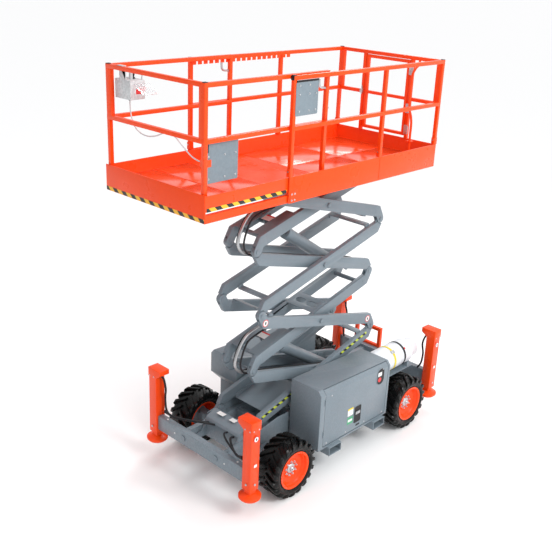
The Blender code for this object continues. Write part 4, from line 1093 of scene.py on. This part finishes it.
def make_door_details(side, side_name):
    body = side_name + "_door"
    low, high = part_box(side_name + "_hood_door")
    long, tall = high.x - low.x, high.z - low.z
    face = high.y if side > 0 else low.y
    hole_x, gauge_x = long * 0.475, long * 0.125

    def on_door(x, z, proud=0.0006):
        """A placing matrix on the door's outer face, in distances from its lower rear corner."""
        return facing((low.x + x, face + side * proud, low.z + z), (0, side, 0))

    def show_shaded_recess(name, x, z, *measures):
        shade_pan, rim = shaded_recess(*measures)
        # The black pan is painted shade: it stands in for the dark inside seen through the opening.
        show(placed(shade_pan, at=on_door(x, z)), f"{side_name}_{name}", body, black_plastic, "engine_black")
        show(placed(rim, at=on_door(x, z)), f"{side_name}_{name}_rim", body, grey_enamel)

    show_shaded_recess("hand_hole", hole_x, tall * 0.27, 0.125, 0.215, 0.022)
    show_shaded_recess("gauge_hole", gauge_x, tall * 0.755, 0.125, 0.200, 0.055)
    latch = placed(slab((-0.040, -0.018, 0.001), (0.040, 0.018, 0.010), 0.003), disc(0.012, 0.016, 20, 0.002),
                   at=on_door(hole_x, tall * 0.30, 0.001))
    show(latch, side_name + "_latch", body, zinc)
    label_x, sticker_x = hole_x + 0.130, gauge_x + 0.015
    for number, (x, z, wide, high_, lift, finish) in enumerate((
            (label_x, tall * 0.37, 0.095, 0.085, 0.0006, white_film),
            (label_x, tall * 0.43, 0.095, 0.020, 0.0015, yellow_film),
            (label_x, tall * 0.22, 0.100, 0.090, 0.0006, green_film),
            (label_x, tall * 0.22, 0.075, 0.030, 0.0015, white_film),
            (sticker_x, tall * 0.80, 0.070, 0.050, 0.0022, white_film))):
        label = placed(patch(wide, high_), at=on_door(x, z, lift))
        show(label, f"{side_name}_door_label_{number}", body, finish, "box_grey")
    sticker = placed(patch(0.060, 0.060, 0.029), at=on_door(sticker_x, tall * 0.70, 0.0022))
    show(sticker, side_name + "_gauge_sticker", body, red_film)
    screws = bmesh.new()
    low_row = [(x, 0.030) for x in (0.06, long * 0.35, long * 0.65, long - 0.06)]
    for x, z in low_row + [(0.10, tall - 0.09), (long - 0.10, tall - 0.09)]:
        join(screws, hex_nut(0.007, 0.005), at=on_door(x, z, 0.0))
    show(screws, side_name + "_door_screws", body, zinc)
    show_shaded_recess("low_slot", long * 0.46, 0.045, 0.070, 0.024, 0.010, 0.002)
    hinges = bmesh.new()
    for height in (0.12, tall - 0.18):
        x, y, z = high.x + 0.006, face + side * 0.004, low.z + height
        join(hinges, bar((x, y, z), (x, y, z + 0.075), 0.006))
    show(hinges, side_name + "_door_hinges", "chassis", grey_enamel)


for side, side_name in SIDES:
    make_door_details(side, side_name)
print("hood doors detailed")

# %% [markdown]
# ## Outriggers
# Each jack leg is a square tube with a welded cap that covers the lift cylinder's port. A black hose leaves
# the cap on the inner side and runs down to the frame. Screws hold the cap and the foot's pin.

# %% Outrigger hoses, screws and stickers
def make_outrigger_details(end, side_name, side):
    low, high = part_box(f"{end}_{side_name}_outrigger")
    name = f"{end}_{side_name}_leg"
    ahead = 1 if end == "front" else -1
    outer = high.y if side > 0 else low.y
    end_x = high.x if end == "front" else low.x
    middle_x, middle_y, top = (low.x + high.x) / 2, outer - side * 0.06, high.z
    bends = [(0, 0.147, 0.085), (1, 0.167, 0.13), (1, 0.197, 0.24), (2, 0.162, 0.36), (2, 0.177, 0.50),
             (3, 0.212, 0.575)]
    hose(name + "_hose", [(middle_x - ahead * 0.02 * steps, outer - side * inwards, top - drop)
                          for steps, inwards, drop in bends], 0.012, "chassis", hose_rubber)
    screws = bmesh.new()
    for centre, normal, across in (((middle_x, outer), (0, side, 0), (1, 0)),
                                   ((end_x, middle_y), (ahead, 0, 0), (0, 1))):
        for step in (-0.035, 0.035):
            spot = (centre[0] + across[0] * step, centre[1] + across[1] * step, top - 0.095)
            join(screws, hex_nut(0.006, 0.005), at=facing(spot, normal))
        join(screws, hex_nut(0.010, 0.008), at=facing((*centre, low.z + 0.075), normal))
    show(screws, name + "_screws", "chassis", zinc)
    for label, z, wide, high_, corner, finish, lift in (
            ("ring", top - 0.195, 0.070, 0.070, 0.0345, red_film, 0.0004),
            ("face", top - 0.195, 0.056, 0.056, 0.0275, white_film, 0.0013),
            ("mark", top - 0.195, 0.016, 0.026, 0.006, black_plastic, 0.0022),
            ("tag", low.z + 0.30, 0.040, 0.034, 0.004, white_film, 0.0004)):
        place = facing((middle_x, outer + side * lift, z), (0, side, 0))
        film_patch = placed(patch(wide, high_, corner), at=place)
        show(film_patch, f"{name}_{label}", "chassis", finish, "orange_paint")


for end in ENDS:
    for side, side_name in SIDES:
        make_outrigger_details(end, side_name, side)
print("four outriggers detailed")

# %% [markdown]
# ## The control box
# The operator drives from a small box on the rail: a stick with a rubber boot, a row of switches, an
# emergency knob, a wire guard and a clear lid that swings up against the rain.

# %% Control box details
def clear_plastic():
    material, tree, shader, place = start_finish("clear lid")
    shader.inputs["Base Color"].default_value = (0.85, 0.87, 0.90, 1)
    shader.inputs["Transmission Weight"].default_value = 0.75
    shader.inputs["IOR"].default_value = 1.45
    shader.inputs["Alpha"].default_value = 0.45
    tree.links.new(spread(tree, grain(tree, place, 20.0), 0.3, 0.7, 0.05, 0.22), shader.inputs["Roughness"])
    skin(tree, shader, grain(tree, place, 30.0), 0.05)
    return material


def make_control_details():
    low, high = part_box("control_box")
    top, stick_x, middle_y, face = rail_high.z - 0.139, rail_high.x - 0.15, (low.y + high.y) / 2, low.x
    boot = lathe([(0.0, 0.0), (0.036, 0.0), (0.034, 0.008), (0.027, 0.012), (0.029, 0.018), (0.021, 0.024),
                  (0.022, 0.030), (0.014, 0.038), (0.0, 0.040)], 32, (0, 0, 1))
    grip = lathe([(0.0, 0.036), (0.013, 0.036), (0.017, 0.050), (0.021, 0.068), (0.022, 0.085),
                  (0.017, 0.094), (0.0, 0.097)], 32, (0, 0, 1))
    stick = placed(boot, grip, at=Matrix.Translation((stick_x, middle_y, top)))
    show(stick, "control_stick", "extension", black_plastic)
    knob = placed(disc(0.020, 0.010, 28, 0.002), disc(0.012, 0.020, 28, 0.002),
                  at=facing((face, middle_y - 0.065, top - 0.040), (-1, 0, 0)))
    show(knob, "stop_knob", "extension", red_film)
    switches = bmesh.new()
    for y in (-0.02, 0.02, 0.06):
        join(switches, disc(0.009, 0.004, 12), bar((0, 0, 0), (0.004, 0, 0.020), 0.0035, 8),
             at=facing((face, middle_y + y, top - 0.043), (-1, 0, 0)))
    show(switches, "control_switches", "extension", zinc)
    label = placed(patch(0.15, 0.05), at=facing((face - FILM_LIFT, middle_y, top - 0.100), (-1, 0, 0)))
    show(label, "control_label", "extension", white_film)
    side_label = placed(patch(0.10, 0.045), at=facing((stick_x, high.y + FILM_LIFT, top - 0.080), (0, 1, 0)))
    show(side_label, "control_side_label", "extension", red_film)
    right, left = low.y + 0.03, high.y - 0.03
    hose("control_guard", [(face + 0.012, right, top), (face + 0.010, right, top + 0.085),
                           (face + 0.010, middle_y, top + 0.100), (face + 0.010, left, top + 0.085),
                           (face + 0.012, left, top)], 0.005, "extension", zinc)
    lid_at = Matrix.Translation((stick_x - 0.01, high.y + 0.004, top - 0.01)) @ Matrix.Rotation(-0.55, 4, "X")
    lid = placed(slab((-0.085, 0, -0.0015), (0.085, 0.16, 0.0015), 0.001), at=lid_at)
    show(lid, "control_lid", "extension", clear_plastic(), "box_grey")
    gland = lathe([(0.0, 0.0), (0.013, 0.0), (0.013, -0.006), (0.0105, -0.007), (0.0095, -0.020),
                   (0.0066, -0.021), (0.0066, -0.002), (0.0, -0.002)], 24, (0, 0, 1))
    gland = placed(gland, at=Matrix.Translation((high.x - 0.1017, low.y + 0.115, low.z)))
    show(gland, "cable_gland", "extension", black_plastic)


make_control_details()
print("control box detailed")

# %% [markdown]
# ## The stage
# A pale floor, a bright surround and large soft lamps give gentle shadows, as in a studio.

# %% Floor and lights
def make_stage():
    shape = bmesh.new()
    bmesh.ops.create_grid(shape, x_segments=2, y_segments=2, size=800.0)
    mesh = bpy.data.meshes.new("floor")
    shape.to_mesh(mesh)
    shape.free()
    floor = bpy.data.objects.new("floor", mesh)
    bpy.context.scene.collection.objects.link(floor)
    paper = bpy.data.materials.new("pale paper")
    paper.use_nodes = True
    paper.node_tree.nodes["Principled BSDF"].inputs["Base Color"].default_value = (0.97, 0.97, 0.97, 1)
    paper.node_tree.nodes["Principled BSDF"].inputs["Roughness"].default_value = 0.9
    mesh.materials.append(paper)
    world = bpy.data.worlds.new("studio")
    world.use_nodes = True
    tree = world.node_tree
    towards = tree.nodes.new("ShaderNodeVectorMath")
    towards.operation = "DOT_PRODUCT"
    towards.inputs[1].default_value = (-0.42, 0.50, 0.76)
    tree.links.new(tree.nodes.new("ShaderNodeTexCoord").outputs["Generated"], towards.inputs[0])
    sky = spread(tree, towards.outputs["Value"], -0.45, 0.95)
    tree.links.new(blend_colours(tree, sky, (0.40, 0.41, 0.43), (1.30, 1.30, 1.30)),
                   tree.nodes["Background"].inputs["Color"])
    bpy.context.scene.world = world


def lamp(name, spot, target, power, size):
    light = bpy.data.lights.new(name, "AREA")
    light.energy, light.size = power, size
    lamp_object = bpy.data.objects.new(name, light)
    bpy.context.scene.collection.objects.link(lamp_object)
    lamp_object.location = spot
    lamp_object.rotation_euler = (Vector(target) - Vector(spot)).to_track_quat("-Z", "Y").to_euler()


bpy.context.scene.view_settings.view_transform = "Standard"
make_stage()
lamp("key", (-0.5, 9.0, 8.5), (0, 0, 1.5), 560, 3.5)
lamp("rim", (-5.0, -3.0, 8.0), (0, 0, 2.0), 160, 3.0)
print("stage lit")

# %% Pieces added
print("pieces added", len(MADE))
